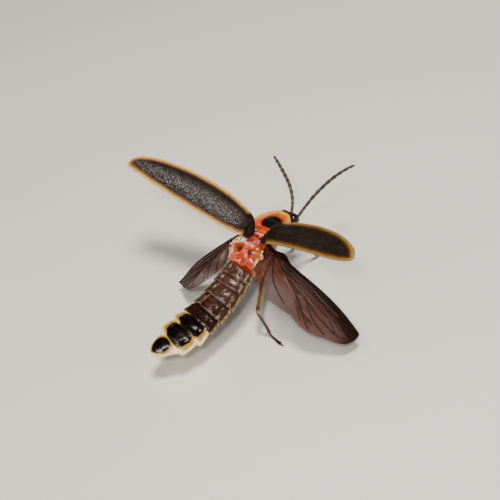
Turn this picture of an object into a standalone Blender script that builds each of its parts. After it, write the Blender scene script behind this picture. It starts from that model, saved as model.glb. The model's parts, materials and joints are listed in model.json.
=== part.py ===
"""Firefly beetle as a still, life-size museum model.

The beetle stands on its six feet with its wing covers raised and its
flying wings swung down, as it does just before it takes off.  One closed
solid is made for each part of the body.

All sizes and places below are in millimetres.  X is the beetle's left,
Y runs from its head to its tail and Z is up, with the floor at zero.
The finished objects are in metres, with the origin on the floor under
the middle of the model.
"""

import math

import bpy
import bmesh
from mathutils import Matrix, Vector

MM = 0.001
GAP = 0.28                 # clearance between parts that meet
SHEET = 0.5                # thickness of wings and wing covers
LEFT = 1.0
RIGHT = -1.0

# Thorax: its middle, its nose-up pitch and the sizes of its two rings
THORAX_HEIGHT = 5.0
THORAX_PITCH = math.radians(16.0)
MESO_FRONT = -1.34
MESO_REAR = -0.42
META_FRONT = MESO_REAR + GAP
META_REAR = 1.6
META_HALF_WIDTH = 1.42

# Pronotum: the shield over the head, nearly level in the model
SHIELD_REAR = (0.0, -1.7, 0.58)
SHIELD_SLOPE = math.radians(17.5)
SHIELD_LENGTH = 2.5
SHIELD_HALF_WIDTH = 1.6
SHIELD_DOME = 0.5
SHIELD_RIM = 0.08
SHIELD_THICK = 0.42

# Head, with the flats that face the eyes
HEAD_MIDDLE = (0.0, -4.33, 5.22)
EYE_FLAT = 0.56
EYE_MIDDLE = 0.46
EYE_RADIUS = 0.45

# Abdomen: the line of its back, its turn about that line, its depth, and
# where each of its eight segments ends along it with its half width there
BACK_LINE = ((0.04, 1.74, 4.92), (-0.08, 4.62, 3.68), (0.4, 7.84, 3.4), (1.68, 10.69, 3.12))
BACK_STEPS = 200
ABDOMEN_TURN = math.radians(-20.0)
ABDOMEN_DEPTH = 1.2
ABDOMEN_START = 0.3
ABDOMEN_FRONT_HALF = 1.2
SEGMENTS = ((0.85, 1.24), (1.75, 1.32), (2.97, 1.36), (4.16, 1.38),
            (5.19, 1.46), (6.31, 1.54), (7.65, 1.36), (9.3, 0.5))
# Rounded end of the last segment: share of its length and of its width
TIP_ROUNDING = ((0.3, 0.97), (0.55, 0.86), (0.78, 0.66), (0.92, 0.44), (1.0, 0.2))

# Wing covers: root and tip of the chord on the left, and on each side the
# front and rear edges as distances along the chord and behind it
ELYTRON_ROOT = (0.75, -0.61, 6.18)
ELYTRON_TIP = (10.36, 0.87, 10.39)
ELYTRON_ROLL = math.radians(-18.0)
ELYTRON_EDGES = {
    LEFT: (((0.25, -1.0), (1.74, -2.66), (10.75, -2.1), (10.74, -0.1)),
           ((0.38, 0.45), (0.94, 0.97), (10.9, 0.75), (10.74, 0.0))),
    RIGHT: (((0.3, -1.35), (2.1, -1.8), (9.75, -1.93), (10.98, 0.4)),
            ((0.12, 0.36), (1.12, 0.39), (11.18, 1.66), (10.98, 0.5))),
}
ELYTRON_CAMBER = 0.36
ELYTRON_BOW = 0.2
RIB_RISE = 0.08
LAST_ROW = 0.985           # a wing's last row, just short of where its edges meet

# Flying wings: tip of the chord, roll about it, bow and edges on each side,
# and where the main veins lie across the wing
HINDWING_ROOT = (1.71, 0.43, 5.51)
HINDWINGS = {
    RIGHT: {
        "tip": (-9.26, 0.14, 1.3), "roll": math.radians(-20.0), "bow": 0.9,
        "front": ((0.12, -0.87), (2.9, -0.28), (5.37, -0.8), (8.71, 0.11)),
        "rear": ((0.12, 1.5), (-0.2, 3.4), (9.3, 3.3), (8.71, 0.23)),
    },
    LEFT: {
        "tip": (6.23, 2.61, 0.9), "roll": math.radians(-28.0), "bow": 0.3,
        "front": ((0.1, -0.67), (2.73, -0.48), (5.03, -0.8), (6.92, -0.34)),
        "rear": ((1.25, 1.65), (2.3, 2.5), (5.04, 2.48), (6.92, -0.22)),
    },
}
HINDWING_CAMBER = 0.25
VEINS = (0.05, 0.16, 0.36, 0.55, 0.75)
BETWEEN_VEINS = (0.26, 0.46, 0.65, 0.88)
VEIN_HALF_WIDTH = 0.025
VEIN_RISE = 0.2

# Antennae: eleven joints each, along a curve
ANTENNA_JOINTS = 11
ANTENNA_RADIUS = 0.25
ANTENNA_CURVES = {
    LEFT: ((0.4, -5.2, 5.05), (0.9, -6.6, 6.0), (2.6, -7.4, 6.4), (4.4, -8.5, 6.7)),
    RIGHT: ((-0.4, -5.2, 5.05), (-0.8, -7.0, 6.2), (-1.6, -8.6, 7.1), (-2.8, -9.6, 7.6)),
}

# Each leg: hip in the thorax's axes, knee, place of the ankle on the
# floor and the point that its foot heads for
LEGS = {
    "leg_front_left": ((0.42, -2.35, -1.06), (1.05, -4.55, 2.95), (1.45, -5.65), (1.7, -7.5)),
    "leg_front_right": ((-0.42, -2.35, -1.06), (-0.85, -4.6, 2.95), (-0.75, -5.95), (-1.3, -7.7)),
    "leg_mid_left": ((0.5, -0.75, -1.58), (2.95, -1.0, 3.15), (3.5, -1.3), (5.0, -1.4)),
    "leg_mid_right": ((-0.5, -0.75, -1.58), (-2.75, -0.6, 3.25), (-3.4, -0.3), (-5.0, 0.4)),
    "leg_hind_left": ((0.55, 1.0, -1.66), (1.9, 3.4, 2.3), (2.6, 4.9), (3.8, 6.2)),
    "leg_hind_right": ((-0.55, 1.0, -1.66), (-2.23, 3.15, 2.5), (-2.8, 2.82), (-4.08, 3.15)),
}
HIP_RADII = (0.3, 0.34, 0.26)
THIGH_RADII = (0.26, 0.33, 0.3, 0.26)
KNEE_RADIUS = 0.25
SHIN_RADII = (0.25, 0.25, 0.26, 0.25)
LIMB_SHARES = (0.14, 0.45, 0.75, 0.9)
TARSUS_JOINTS = 5
TARSUS_LENGTH = 1.45
TARSUS_HEIGHT = 0.212
ANKLE_HEIGHT = 0.34

DARK_BROWN = (0.035, 0.02, 0.012, 1.0)
AMBER = (0.75, 0.33, 0.08, 1.0)
ORANGE = (0.68, 0.13, 0.03, 1.0)
MAROON = (0.08, 0.02, 0.012, 1.0)
CREAM = (0.85, 0.66, 0.3, 1.0)
SMOKE = (0.16, 0.11, 0.08, 1.0)
OLIVE = (0.3, 0.2, 0.06, 1.0)
EYE_BLACK = (0.008, 0.008, 0.01, 1.0)

# Lengths of the abdomen: first and last segment, and colour
ABDOMEN_RANGES = {
    "abdomen_base": (0, 5, DARK_BROWN),
    "abdomen_lantern": (5, 7, CREAM),
    "abdomen_tip": (7, 8, DARK_BROWN),
}


def clear_scene():
    """Remove whatever the file holds."""
    for item in list(bpy.data.objects):
        bpy.data.objects.remove(item, do_unlink=True)


def mix(low, high, share):
    """Number or vector part of the way from low to high."""
    return low + (high - low) * share


def bezier(points, share):
    """Point of a cubic curve with four control points."""
    first, second, third, last = (Vector(point) for point in points)
    rest = 1.0 - share
    return (first * rest ** 3 + second * (3 * rest * rest * share)
            + third * (3 * rest * share * share) + last * share ** 3)


def from_thorax(point):
    """Place a point given in the pitched thorax's own axes."""
    turned = Matrix.Rotation(-THORAX_PITCH, 3, "X") @ Vector(point)
    return turned + Vector((0.0, 0.0, THORAX_HEIGHT))


def principled(name, colour, roughness):
    """Plain material for one part."""
    material = bpy.data.materials.new(name)
    material.use_nodes = True
    shader = material.node_tree.nodes["Principled BSDF"]
    shader.inputs["Base Color"].default_value = colour
    shader.inputs["Roughness"].default_value = roughness
    shader.inputs["Metallic"].default_value = 0.0
    return material


def make_part(name, vertices, faces, colour, roughness):
    """Turn points in millimetres into one closed mesh object."""
    mesh = bpy.data.meshes.new(name)
    mesh.from_pydata([tuple(Vector(point) * MM) for point in vertices], [], faces)
    work = bmesh.new()
    work.from_mesh(mesh)
    bmesh.ops.recalc_face_normals(work, faces=work.faces)
    work.to_mesh(mesh)
    work.free()
    mesh.shade_smooth()
    mesh.set_sharp_from_angle(angle=math.radians(50.0))
    mesh.materials.append(principled(name + "_finish", colour, roughness))
    part = bpy.data.objects.new(name, mesh)
    bpy.data.collections["firefly"].objects.link(part)
    return part


def loft(rings):
    """Join rings of equally many points and close both ends with fans."""
    count = len(rings[0])
    vertices = [point for ring in rings for point in ring]
    faces = []
    for step in range(len(rings) - 1):
        near, far = step * count, (step + 1) * count
        for side in range(count):
            after = (side + 1) % count
            faces.append((near + side, near + after, far + after, far + side))
    for start in (0, (len(rings) - 1) * count):
        ring = vertices[start:start + count]
        middle = sum((Vector(point) for point in ring), Vector()) / count
        hub = len(vertices)
        vertices.append(middle)
        for side in range(count):
            faces.append((start + side, start + (side + 1) % count, hub))
    return vertices, faces


def sheet(surface, lift, thickness, rows, columns):
    """Closed thin sheet about surface(u, v), thick along lift, both faces cut alike."""
    upper, lower = [], []
    for u in rows:
        for v in columns:
            middle = surface(u, v)
            half = lift * (thickness(u, v) / 2.0)
            upper.append(middle + half)
            lower.append(middle - half)
    wide = len(columns)
    total = len(upper)
    faces = []
    for row in range(len(rows) - 1):
        for column in range(wide - 1):
            a = row * wide + column
            b, c, d = a + 1, a + wide + 1, a + wide
            faces += [(a, b, c), (a, c, d)]
            faces += [(total + a, total + c, total + b), (total + a, total + d, total + c)]
    border = [(0, column) for column in range(wide)]
    border += [(row, wide - 1) for row in range(1, len(rows))]
    border += [(len(rows) - 1, column) for column in range(wide - 2, -1, -1)]
    border += [(row, 0) for row in range(len(rows) - 2, 0, -1)]
    for place, (row, column) in enumerate(border):
        next_row, next_column = border[(place + 1) % len(border)]
        a = row * wide + column
        b = next_row * wide + next_column
        faces.append((a, b, total + b, total + a))
    return upper + lower, faces


def tube(path, radii, sides):
    """Round limb along a list of points, kept above the floor.

    Each ring is square to the mean of the runs that meet there, with one
    flat of the polygon facing down.
    """
    rings = []
    for index, point in enumerate(path):
        before = path[max(index - 1, 0)]
        after = path[min(index + 1, len(path) - 1)]
        run_in = (point - before).normalized() if index else (after - point).normalized()
        run_out = (after - point).normalized() if index < len(path) - 1 else run_in
        ahead = (run_in + run_out).normalized()
        side = ahead.cross(Vector((0.0, 0.0, 1.0)))
        if side.length < 0.05:
            side = Vector((1.0, 0.0, 0.0))
        side.normalize()
        rise = side.cross(ahead).normalized()
        stretch = 1.0 / max(run_in.dot(ahead), 0.6)
        ring = []
        for step in range(sides):
            angle = math.tau * (step + 0.5) / sides
            out = side * math.sin(angle) + rise * (math.cos(angle) * stretch)
            place = point + out * radii[index]
            place.z = max(place.z, 0.0)
            ring.append(place)
        rings.append(ring)
    return loft(rings)


def thorax_section(y, half_width, top_width, top, bottom, waist):
    """Ring across the thorax: flat belly, bulging flank, narrower back."""
    profile = (
        (0.0, top + 0.06), (top_width * 0.5, top + 0.04), (top_width, top - 0.05),
        (half_width * 0.86, mix(waist, top, 0.5)), (half_width, waist),
        (half_width * 0.97, mix(waist, bottom, 0.4)),
        (half_width * 0.8, mix(waist, bottom, 0.8)),
        (half_width * 0.45, bottom), (0.0, bottom - 0.05),
    )
    right = [from_thorax((x, y, z)) for x, z in profile]
    left = [from_thorax((-x, y, z)) for x, z in reversed(profile[1:-1])]
    return right + left


def make_mesothorax():
    """Short ring that carries the wing covers, with the scutellum on top."""
    stations = (
        (MESO_FRONT, 0.8, 0.3, 0.7, -0.75), (MESO_FRONT + 0.18, 0.98, 0.38, 0.9, -1.0),
        (-0.85, 1.05, 0.36, 1.0, -1.1), (-0.6, 1.05, 0.3, 1.14, -1.15),
        (MESO_REAR, 1.02, 0.2, 1.14, -1.12),
    )
    rings = [thorax_section(y, wide, top_width, top, bottom, 0.0)
             for y, wide, top_width, top, bottom in stations]
    make_part("mesothorax", *loft(rings), MAROON, 0.3)


def make_metathorax():
    """Long ring that carries the flying wings and the hind legs."""
    stations = (
        (META_FRONT, 1.1, 0.55, 1.0, -1.1, 0.2), (META_FRONT + 0.18, 1.32, 0.62, 1.22, -1.2, 0.25),
        (0.35, META_HALF_WIDTH, 0.75, 1.3, -1.25, 0.2),
        (0.75, META_HALF_WIDTH, 0.85, 1.22, -1.25, 0.15),
        (1.2, 1.38, 0.95, 1.0, -1.2, 0.1), (1.55, 1.28, 0.9, 0.82, -1.05, 0.1),
        (META_REAR, 1.1, 0.75, 0.6, -0.85, 0.0),
    )
    rings = [thorax_section(y, wide, top_width, top, bottom, waist)
             for y, wide, top_width, top, bottom, waist in stations]
    make_part("metathorax", *loft(rings), ORANGE, 0.3)


def shield_point(across, along, lift):
    """Point of the shield: along forward from its rear, lift off its plane."""
    rear = Vector(SHIELD_REAR)
    forward = Vector((0.0, -math.cos(SHIELD_SLOPE), -math.sin(SHIELD_SLOPE)))
    upward = Vector((0.0, -math.sin(SHIELD_SLOPE), math.cos(SHIELD_SLOPE)))
    return from_thorax(rear + Vector((across, 0.0, 0.0)) + forward * along + upward * lift)


def make_pronotum():
    """Domed shield with a turned-up rim, over a small block for the front legs."""
    block_half, block_start, block_end, block_low = 0.72, 0.3, 1.45, -0.95
    stations = 13
    columns = 14
    rings = []
    for row in range(stations + 1):
        share = math.sin(math.pi / 2 * row / stations)
        along = SHIELD_LENGTH * share * 0.985
        half = SHIELD_HALF_WIDTH * (1.0 - share ** 2.4 * 0.97) ** 0.5
        half *= 0.95 + 0.05 * math.sin(math.pi * min(share * 1.6, 1.0))
        crown = SHIELD_DOME * (0.7 + 0.3 * math.sin(math.pi * min(share * 2.0, 1.0)))
        top, low = [], []
        for column in range(columns + 1):
            place = math.sin(math.pi / 2 * (2.0 * column / columns - 1.0))
            dome = crown * (1.0 - place * place) * (1.0 - share ** 2)
            edge = max(abs(place), share) ** 6
            top.append(shield_point(place * half, along, dome + SHIELD_RIM * edge))
            across = place * half
            drop = dome * 0.7 - mix(SHIELD_THICK, SHIELD_THICK * 0.5, edge)
            if abs(across) < block_half * 1.35 and block_start < along < block_end:
                across = max(-block_half, min(block_half, across))
                drop = block_low
            low.append(shield_point(across, along, drop))
        rings.append(top + list(reversed(low)))
    make_part("pronotum", *loft(rings), AMBER, 0.35)


def make_head():
    """Small head bent down, with a neck and flats where the eyes sit."""
    middle = Vector(HEAD_MIDDLE)
    flat = EYE_FLAT - GAP
    stations = (
        (0.95, 0.34, 0.26, -0.22), (0.6, 0.34, 0.28, -0.2), (0.44, flat, 0.33, -0.14),
        (0.1, flat, 0.42, -0.03), (-0.2, flat, 0.42, -0.05), (-0.42, flat, 0.34, -0.12),
        (-0.56, 0.24, 0.22, -0.2),
    )
    rings = []
    for y, half, tall, drop in stations:
        ring = []
        for step in range(12):
            angle = math.tau * (step + 0.5) / 12
            x = half * max(-1.0, min(1.0, 1.2 * math.sin(angle)))
            ring.append(middle + Vector((x, y, tall * math.cos(angle) + drop)))
        rings.append(ring)
    make_part("head", *loft(rings), MAROON, 0.35)


def make_eye(side, name):
    """Bulging eye: a ball cut flat where it faces the head."""
    work = bmesh.new()
    bmesh.ops.create_uvsphere(work, u_segments=16, v_segments=10, radius=EYE_RADIUS)
    bmesh.ops.rotate(work, verts=work.verts, matrix=Matrix.Rotation(math.pi / 2, 3, "Y"))
    place = Vector(HEAD_MIDDLE) + Vector((side * EYE_MIDDLE, 0.0, 0.0))
    bmesh.ops.translate(work, verts=work.verts, vec=place)
    cut = bmesh.ops.bisect_plane(
        work, geom=work.verts[:] + work.edges[:] + work.faces[:], dist=1e-4,
        plane_co=(side * EYE_FLAT, 0.0, 0.0), plane_no=(side, 0.0, 0.0), clear_inner=True)
    rim = [item for item in cut["geom_cut"] if isinstance(item, bmesh.types.BMEdge)]
    bmesh.ops.contextual_create(work, geom=rim)
    vertices = [vertex.co.copy() for vertex in work.verts]
    for index, vertex in enumerate(work.verts):
        vertex.index = index
    faces = [tuple(corner.index for corner in face.verts) for face in work.faces]
    work.free()
    make_part(name, vertices, faces, EYE_BLACK, 0.15)


def make_antenna(name, curve):
    """Thread of eleven joints, each wider at its far end."""
    path, radii = [], []
    for joint in range(ANTENNA_JOINTS):
        start = joint / ANTENNA_JOINTS
        end = (joint + 1) / ANTENNA_JOINTS
        taper = mix(1.0, 0.8, start)
        for share, width in ((0.04, 0.82), (0.55, 0.96), (0.94, 1.0)):
            path.append(bezier(curve, mix(start, end, share)))
            radii.append(ANTENNA_RADIUS * width * taper)
    path.append(bezier(curve, 1.0))
    radii.append(0.1)
    make_part(name, *tube(path, radii, sides=6), MAROON, 0.5)


def back_point(distance):
    """Point of the back line at a distance along it, and its direction."""
    travelled = 0.0
    last = bezier(BACK_LINE, 0.0)
    for step in range(1, BACK_STEPS + 1):
        here = bezier(BACK_LINE, step / BACK_STEPS)
        piece = (here - last).length
        if travelled + piece >= distance or step == BACK_STEPS:
            ahead = (here - last).normalized()
            return last + ahead * (distance - travelled), ahead
        travelled += piece
        last = here
    return last, ahead


def abdomen_ring(distance, half, depth):
    """Ring across the abdomen: low arched back, thin flank, rounded belly."""
    back, ahead = back_point(distance)
    side = ahead.cross(Vector((0.0, 0.0, 1.0))).normalized()
    turn = Matrix.Rotation(ABDOMEN_TURN, 3, ahead)
    side = turn @ side
    up = side.cross(ahead)
    profile = (
        (0.0, 0.0), (0.35, -0.02), (0.68, -0.08), (0.9, -0.2), (1.0, -0.36),
        (0.93, -0.55), (0.75, -0.8), (0.4, -0.97), (0.0, -1.0),
    )
    right = [back + side * (x * half) + up * (z * depth) for x, z in profile]
    left = [back - side * (x * half) + up * (z * depth) for x, z in reversed(profile[1:-1])]
    return right + left


def make_abdomen():
    """Overlapping segments in three lengths: plain, light organ and tip."""
    starts = [ABDOMEN_START] + [end for end, half in SEGMENTS]
    halves = [ABDOMEN_FRONT_HALF] + [half for end, half in SEGMENTS]
    for name, (first, last, colour) in ABDOMEN_RANGES.items():
        rings = []
        for segment in range(first, last):
            start, end = starts[segment], starts[segment + 1]
            if segment == first and first:
                start += GAP / 2
            if segment == last - 1 and last < len(SEGMENTS):
                end -= GAP / 2
            near, far = halves[segment], halves[segment + 1]
            if segment == len(SEGMENTS) - 1:
                rings.append(abdomen_ring(start, near * 0.95, ABDOMEN_DEPTH * 0.85))
                for share, width in TIP_ROUNDING:
                    depth = ABDOMEN_DEPTH * mix(0.4, 0.85, width)
                    rings.append(abdomen_ring(mix(start, end, share), near * width, depth))
                continue
            depth = ABDOMEN_DEPTH * mix(0.8, 1.0, min(segment / 2.0, 1.0))
            rings.append(abdomen_ring(start + 0.01, near * 0.95, depth * 0.95))
            rings.append(abdomen_ring(mix(start, end, 0.45), mix(near, far, 0.5), depth))
            rings.append(abdomen_ring(end - 0.03, far * 1.03, depth * 1.02))
        make_part(name, *loft(rings), colour, 0.25)


class WingFrame:
    """Axes of one wing: chord from root to tip, wide towards the rear."""

    def __init__(self, root, tip, roll, side):
        self.root = Vector(root)
        reach = Vector(tip) - self.root
        self.along = reach.normalized()
        rear = Vector((0.0, 1.0, 0.0))
        rear = (rear - self.along * rear.dot(self.along)).normalized()
        self.across = Matrix.Rotation(roll * side, 3, self.along) @ rear
        self.up = self.along.cross(self.across) * side

    def place(self, along, across, lift):
        """Point from distances along the wing, across it and above it."""
        return self.root + self.along * along + self.across * across + self.up * lift


def wing_surface(frame, front_edge, rear_edge, camber, bow):
    """Middle surface of a wing between its front and rear edge curves."""
    front_curve = [(x, y, 0.0) for x, y in front_edge]
    rear_curve = [(x, y, 0.0) for x, y in rear_edge]

    def surface(u, v):
        front = bezier(front_curve, u)
        rear = bezier(rear_curve, u)
        flat = mix(front, rear, v)
        lift = camber * 4.0 * v * (1.0 - v) * (1.0 - 0.5 * u) + bow * math.sin(math.pi * u)
        return frame.place(flat.x, flat.y, lift)

    return surface


def spread(count, crowd):
    """Shares from the root to just short of the tip, crowded towards the tip."""
    steps = [index / (count - 1) for index in range(count)]
    return [mix(step, math.sin(step * math.pi / 2), crowd) * LAST_ROW for step in steps]


def make_elytron(side, name):
    """Wing cover: long curved plate with a rim and two faint ribs."""
    mirror = Vector((side, 1.0, 1.0))
    frame = WingFrame(Vector(ELYTRON_ROOT) * mirror, Vector(ELYTRON_TIP) * mirror,
                      ELYTRON_ROLL, side)
    surface = wing_surface(frame, *ELYTRON_EDGES[side], ELYTRON_CAMBER, ELYTRON_BOW)

    def thickness(u, v):
        edge = min(v, 1.0 - v)
        rib = RIB_RISE if abs(v - 0.35) < 0.01 or abs(v - 0.65) < 0.01 else 0.0
        return (SHEET * (0.7 if edge < 0.001 else 1.0) + rib * (1.0 - u)) * mix(1.0, 0.7, u)

    columns = (0.0, 0.06, 0.2, 0.35, 0.5, 0.65, 0.8, 0.94, 1.0)
    rows = spread(20, crowd=0.5)
    make_part(name, *sheet(surface, frame.up, thickness, rows, columns), DARK_BROWN, 0.55)


def make_hindwing(side, name):
    """Flying wing: thin bowed sheet with its main veins raised as ridges."""
    shape = HINDWINGS[side]
    root = Vector(HINDWING_ROOT) * Vector((side, 1.0, 1.0))
    frame = WingFrame(root, shape["tip"], shape["roll"], side)
    surface = wing_surface(frame, shape["front"], shape["rear"],
                           HINDWING_CAMBER, shape["bow"])

    def thickness(u, v):
        on_vein = any(abs(v - vein) < VEIN_HALF_WIDTH / 2 for vein in VEINS)
        fade = mix(1.0, 0.75, u)
        return (SHEET + (VEIN_RISE if on_vein else 0.0)) * fade

    columns = {0.0, 1.0, *BETWEEN_VEINS}
    for vein in VEINS:
        columns |= {vein - VEIN_HALF_WIDTH, vein, vein + VEIN_HALF_WIDTH}
    rows = spread(16, crowd=0.4)
    columns = sorted(columns)
    make_part(name, *sheet(surface, frame.up, thickness, rows, columns), SMOKE, 0.35)


def make_leg(name, shape):
    """Leg as one jointed limb, its foot flat on the floor."""
    hip_place, knee_place, ankle_place, aim = shape
    side = LEFT if hip_place[0] > 0 else RIGHT
    hip = from_thorax(hip_place)
    knee = Vector(knee_place)
    ankle = Vector((*ankle_place, ANKLE_HEIGHT))
    thigh_start = hip + Vector((side * 0.2, 0.1, -0.42))
    path = [hip, mix(hip, thigh_start, 0.55), thigh_start]
    radii = list(HIP_RADII)
    for share, width in zip(LIMB_SHARES, THIGH_RADII):
        path.append(mix(thigh_start, knee, share))
        radii.append(width)
    path.append(knee)
    radii.append(KNEE_RADIUS)
    for share, width in zip(LIMB_SHARES, SHIN_RADII):
        path.append(mix(knee, ankle, share))
        radii.append(width)
    forward = (Vector((*aim, ANKLE_HEIGHT)) - ankle).normalized()
    joint_length = TARSUS_LENGTH / TARSUS_JOINTS
    for joint in range(TARSUS_JOINTS):
        wide = 0.28 if joint == TARSUS_JOINTS - 2 else 0.25
        for share, swell in ((0.25, 0.94), (0.9, 1.0)):
            out = (joint + share) * joint_length
            path.append(Vector((ankle.x, ankle.y, TARSUS_HEIGHT)) + forward * out)
            radii.append(wide * swell)
    make_part(name, *tube(path, radii, sides=8), OLIVE, 0.4)


def set_origin():
    """Move all parts so that the floor's middle under them is the origin."""
    parts = list(bpy.data.collections["firefly"].objects)
    points = [vertex.co for part in parts for vertex in part.data.vertices]
    middle_x = (min(p.x for p in points) + max(p.x for p in points)) / 2.0
    middle_y = (min(p.y for p in points) + max(p.y for p in points)) / 2.0
    lowest = min(p.z for p in points)
    for part in parts:
        part.data.transform(Matrix.Translation((-middle_x, -middle_y, -lowest)))


def main():
    """Build every part of the beetle."""
    clear_scene()
    collection = bpy.data.collections.new("firefly")
    bpy.context.scene.collection.children.link(collection)
    make_head()
    make_pronotum()
    make_mesothorax()
    make_metathorax()
    make_abdomen()
    for side, word in ((LEFT, "left"), (RIGHT, "right")):
        make_eye(side, "eye_" + word)
        make_antenna("antenna_" + word, ANTENNA_CURVES[side])
        make_elytron(side, "elytron_" + word)
        make_hindwing(side, "hindwing_" + word)
    for name, shape in LEGS.items():
        make_leg(name, shape)
    set_origin()


main()
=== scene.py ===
"""Looks of the firefly model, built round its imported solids.

The beetle stands on the floor with its wing covers raised and its flying
wings swung down.  Sizes are in millimetres in the source's own axes: X is
the beetle's left, Y runs from head to tail and Z is up, floor at zero.
Each class below holds the sizes of one part of the body and makes its
pieces; each finish is named for the real surface that it stands for.
"""

from __future__ import annotations

import json
import logging
import math
from collections.abc import Sequence
from dataclasses import dataclass, field
from enum import Enum

import bmesh
import bpy
import numpy as np
from bpy.types import ID, Material, Mesh, Node, NodeOutputs, NodeSocket, NodeTree, Object
from mathutils import Matrix, Vector, noise

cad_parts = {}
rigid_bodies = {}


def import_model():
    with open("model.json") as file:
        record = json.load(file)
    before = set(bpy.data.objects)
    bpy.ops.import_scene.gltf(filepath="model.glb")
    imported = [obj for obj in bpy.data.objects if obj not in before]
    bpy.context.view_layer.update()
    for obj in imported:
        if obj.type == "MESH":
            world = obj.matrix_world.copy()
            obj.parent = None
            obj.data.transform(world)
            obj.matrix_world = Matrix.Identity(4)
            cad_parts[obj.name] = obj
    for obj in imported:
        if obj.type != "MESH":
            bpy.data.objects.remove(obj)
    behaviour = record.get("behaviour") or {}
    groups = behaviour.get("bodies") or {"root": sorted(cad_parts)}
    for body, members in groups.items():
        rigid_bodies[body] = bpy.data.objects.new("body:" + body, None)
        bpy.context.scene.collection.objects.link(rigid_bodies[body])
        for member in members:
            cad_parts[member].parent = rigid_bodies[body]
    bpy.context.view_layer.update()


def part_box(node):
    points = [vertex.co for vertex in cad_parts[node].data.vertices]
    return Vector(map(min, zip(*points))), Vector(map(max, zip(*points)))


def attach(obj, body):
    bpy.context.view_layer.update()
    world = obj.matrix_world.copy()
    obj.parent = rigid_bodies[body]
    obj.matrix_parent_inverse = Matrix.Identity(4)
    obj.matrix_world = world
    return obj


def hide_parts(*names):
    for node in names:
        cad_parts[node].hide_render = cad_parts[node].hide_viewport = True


LOG = logging.getLogger("firefly")
MM = 0.001
Array = np.ndarray
Point = tuple[float, float, float]
Flat = tuple[float, float]


class Side(Enum):
    """Side of the body; the value mirrors X."""

    LEFT = 1.0
    RIGHT = -1.0

    @property
    def word(self) -> str:
        """Name of the side in a piece's name."""
        return self.name.lower()

    @property
    def mirror(self) -> Array:
        """Factors that carry a place on the left over to this side."""
        return np.array([self.value, 1.0, 1.0])


# Numbers, colours and curves


def mix(low: Array | float, high: Array | float, share: Array | float) -> Array | float:
    """Value part of the way from low to high."""
    return low + (high - low) * share


def smooth(value: Array | float, start: float, end: float) -> Array:
    """Ease from 0 at start to 1 at end.

    Args:
        value: Numbers to ease.
        start: Where the result is 0.
        end: Where the result is 1; it may be below start.

    Returns:
        Shares between 0 and 1.
    """
    share = np.clip((np.asarray(value, float) - start) / (end - start), 0.0, 1.0)
    return share * share * (3.0 - 2.0 * share)


def bump(value: Array | float, middle: float, width: float) -> Array:
    """Bell curve of height 1 about middle."""
    return np.exp(-(((np.asarray(value, float) - middle) / width) ** 2))


def linear(code: str) -> Array:
    """Turn an sRGB hex code into linear red, green and blue.

    Args:
        code: Six hex digits after a hash.

    Returns:
        Three linear values.
    """
    parts = np.array([int(code[place:place + 2], 16) / 255.0 for place in (1, 3, 5)])
    return np.where(parts <= 0.04045, parts / 12.92, ((parts + 0.055) / 1.055) ** 2.4)


def unit(vectors: Array) -> Array:
    """Scale vectors to length 1 along the last axis."""
    return vectors / np.maximum(np.linalg.norm(vectors, axis=-1, keepdims=True), 1e-9)


def rotate(vectors: Array, axis: Array, angle: float) -> Array:
    """Turn vectors about a unit axis.

    Args:
        vectors: One vector or an array of them.
        axis: Unit axis of the turn.
        angle: Angle in radians.

    Returns:
        The turned vectors.
    """
    along = (vectors @ axis)[..., None] * axis
    return (vectors * math.cos(angle) + np.cross(axis, vectors) * math.sin(angle)
            + along * (1.0 - math.cos(angle)))


def cubic(points: Sequence[Sequence[float]], share: Array) -> Array:
    """Points of a cubic curve with four control points.

    Args:
        points: The four control points.
        share: Shares along the curve, of any shape.

    Returns:
        Array shaped as share with one more axis for the coordinates.
    """
    first, second, third, last = (np.asarray(point, float) for point in points)
    t = np.asarray(share, float)[..., None]
    rest = 1.0 - t
    return (first * rest ** 3 + second * (3 * rest * rest * t)
            + third * (3 * rest * t * t) + last * t ** 3)


def through(points: Sequence[Sequence[float]], count: int, closed: bool = False) -> Array:
    """Smooth line through given points.

    Args:
        points: Points to pass through.
        count: Number of points to return.
        closed: True to come back to the first point.

    Returns:
        Array of count points, the closing point left out when closed.
    """
    given = np.asarray(points, float)
    total = len(given)
    spans = total if closed else total - 1
    place = np.linspace(0.0, spans, count, endpoint=not closed)
    index = np.minimum(place.astype(int), spans - 1)
    t = (place - index)[:, None]

    def pick(offset: int) -> Array:
        """Given points next to each place, wrapped or held at the ends."""
        wanted = index + offset
        return given[wanted % total] if closed else given[np.clip(wanted, 0, total - 1)]

    a, b, c, d = pick(-1), pick(0), pick(1), pick(2)
    return 0.5 * (2 * b + (c - a) * t + (2 * a - 5 * b + 4 * c - d) * t ** 2
                  + (3 * b - a - 3 * c + d) * t ** 3)


def walked(line: Array) -> Array:
    """Distance from a line's first point to each of its points."""
    return np.concatenate([[0.0], np.cumsum(np.linalg.norm(np.diff(line, axis=0), axis=1))])


def between(where: Array, distances: Array, values: Array) -> Array:
    """Read columns of values at distances that lie between their own.

    Args:
        where: Distances wanted.
        distances: Distance of each row of values.
        values: Rows of numbers.

    Returns:
        A row of numbers for each distance wanted.
    """
    return np.stack([np.interp(where, distances, column) for column in values.T], axis=-1)


def cloudy(points: Array, scale: float, seed: float) -> Array:
    """Smooth noise between about -1 and 1 at points.

    Args:
        points: Array whose last axis holds coordinates in millimetres.
        scale: Size of a cloud in millimetres.
        seed: Shift of the pattern.

    Returns:
        Noise with the shape of points less its last axis.
    """
    flat = np.asarray(points, float).reshape(-1, 3) / scale + seed
    values = [noise.noise(Vector(place)) for place in flat]
    return np.array(values).reshape(np.shape(points)[:-1])


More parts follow.
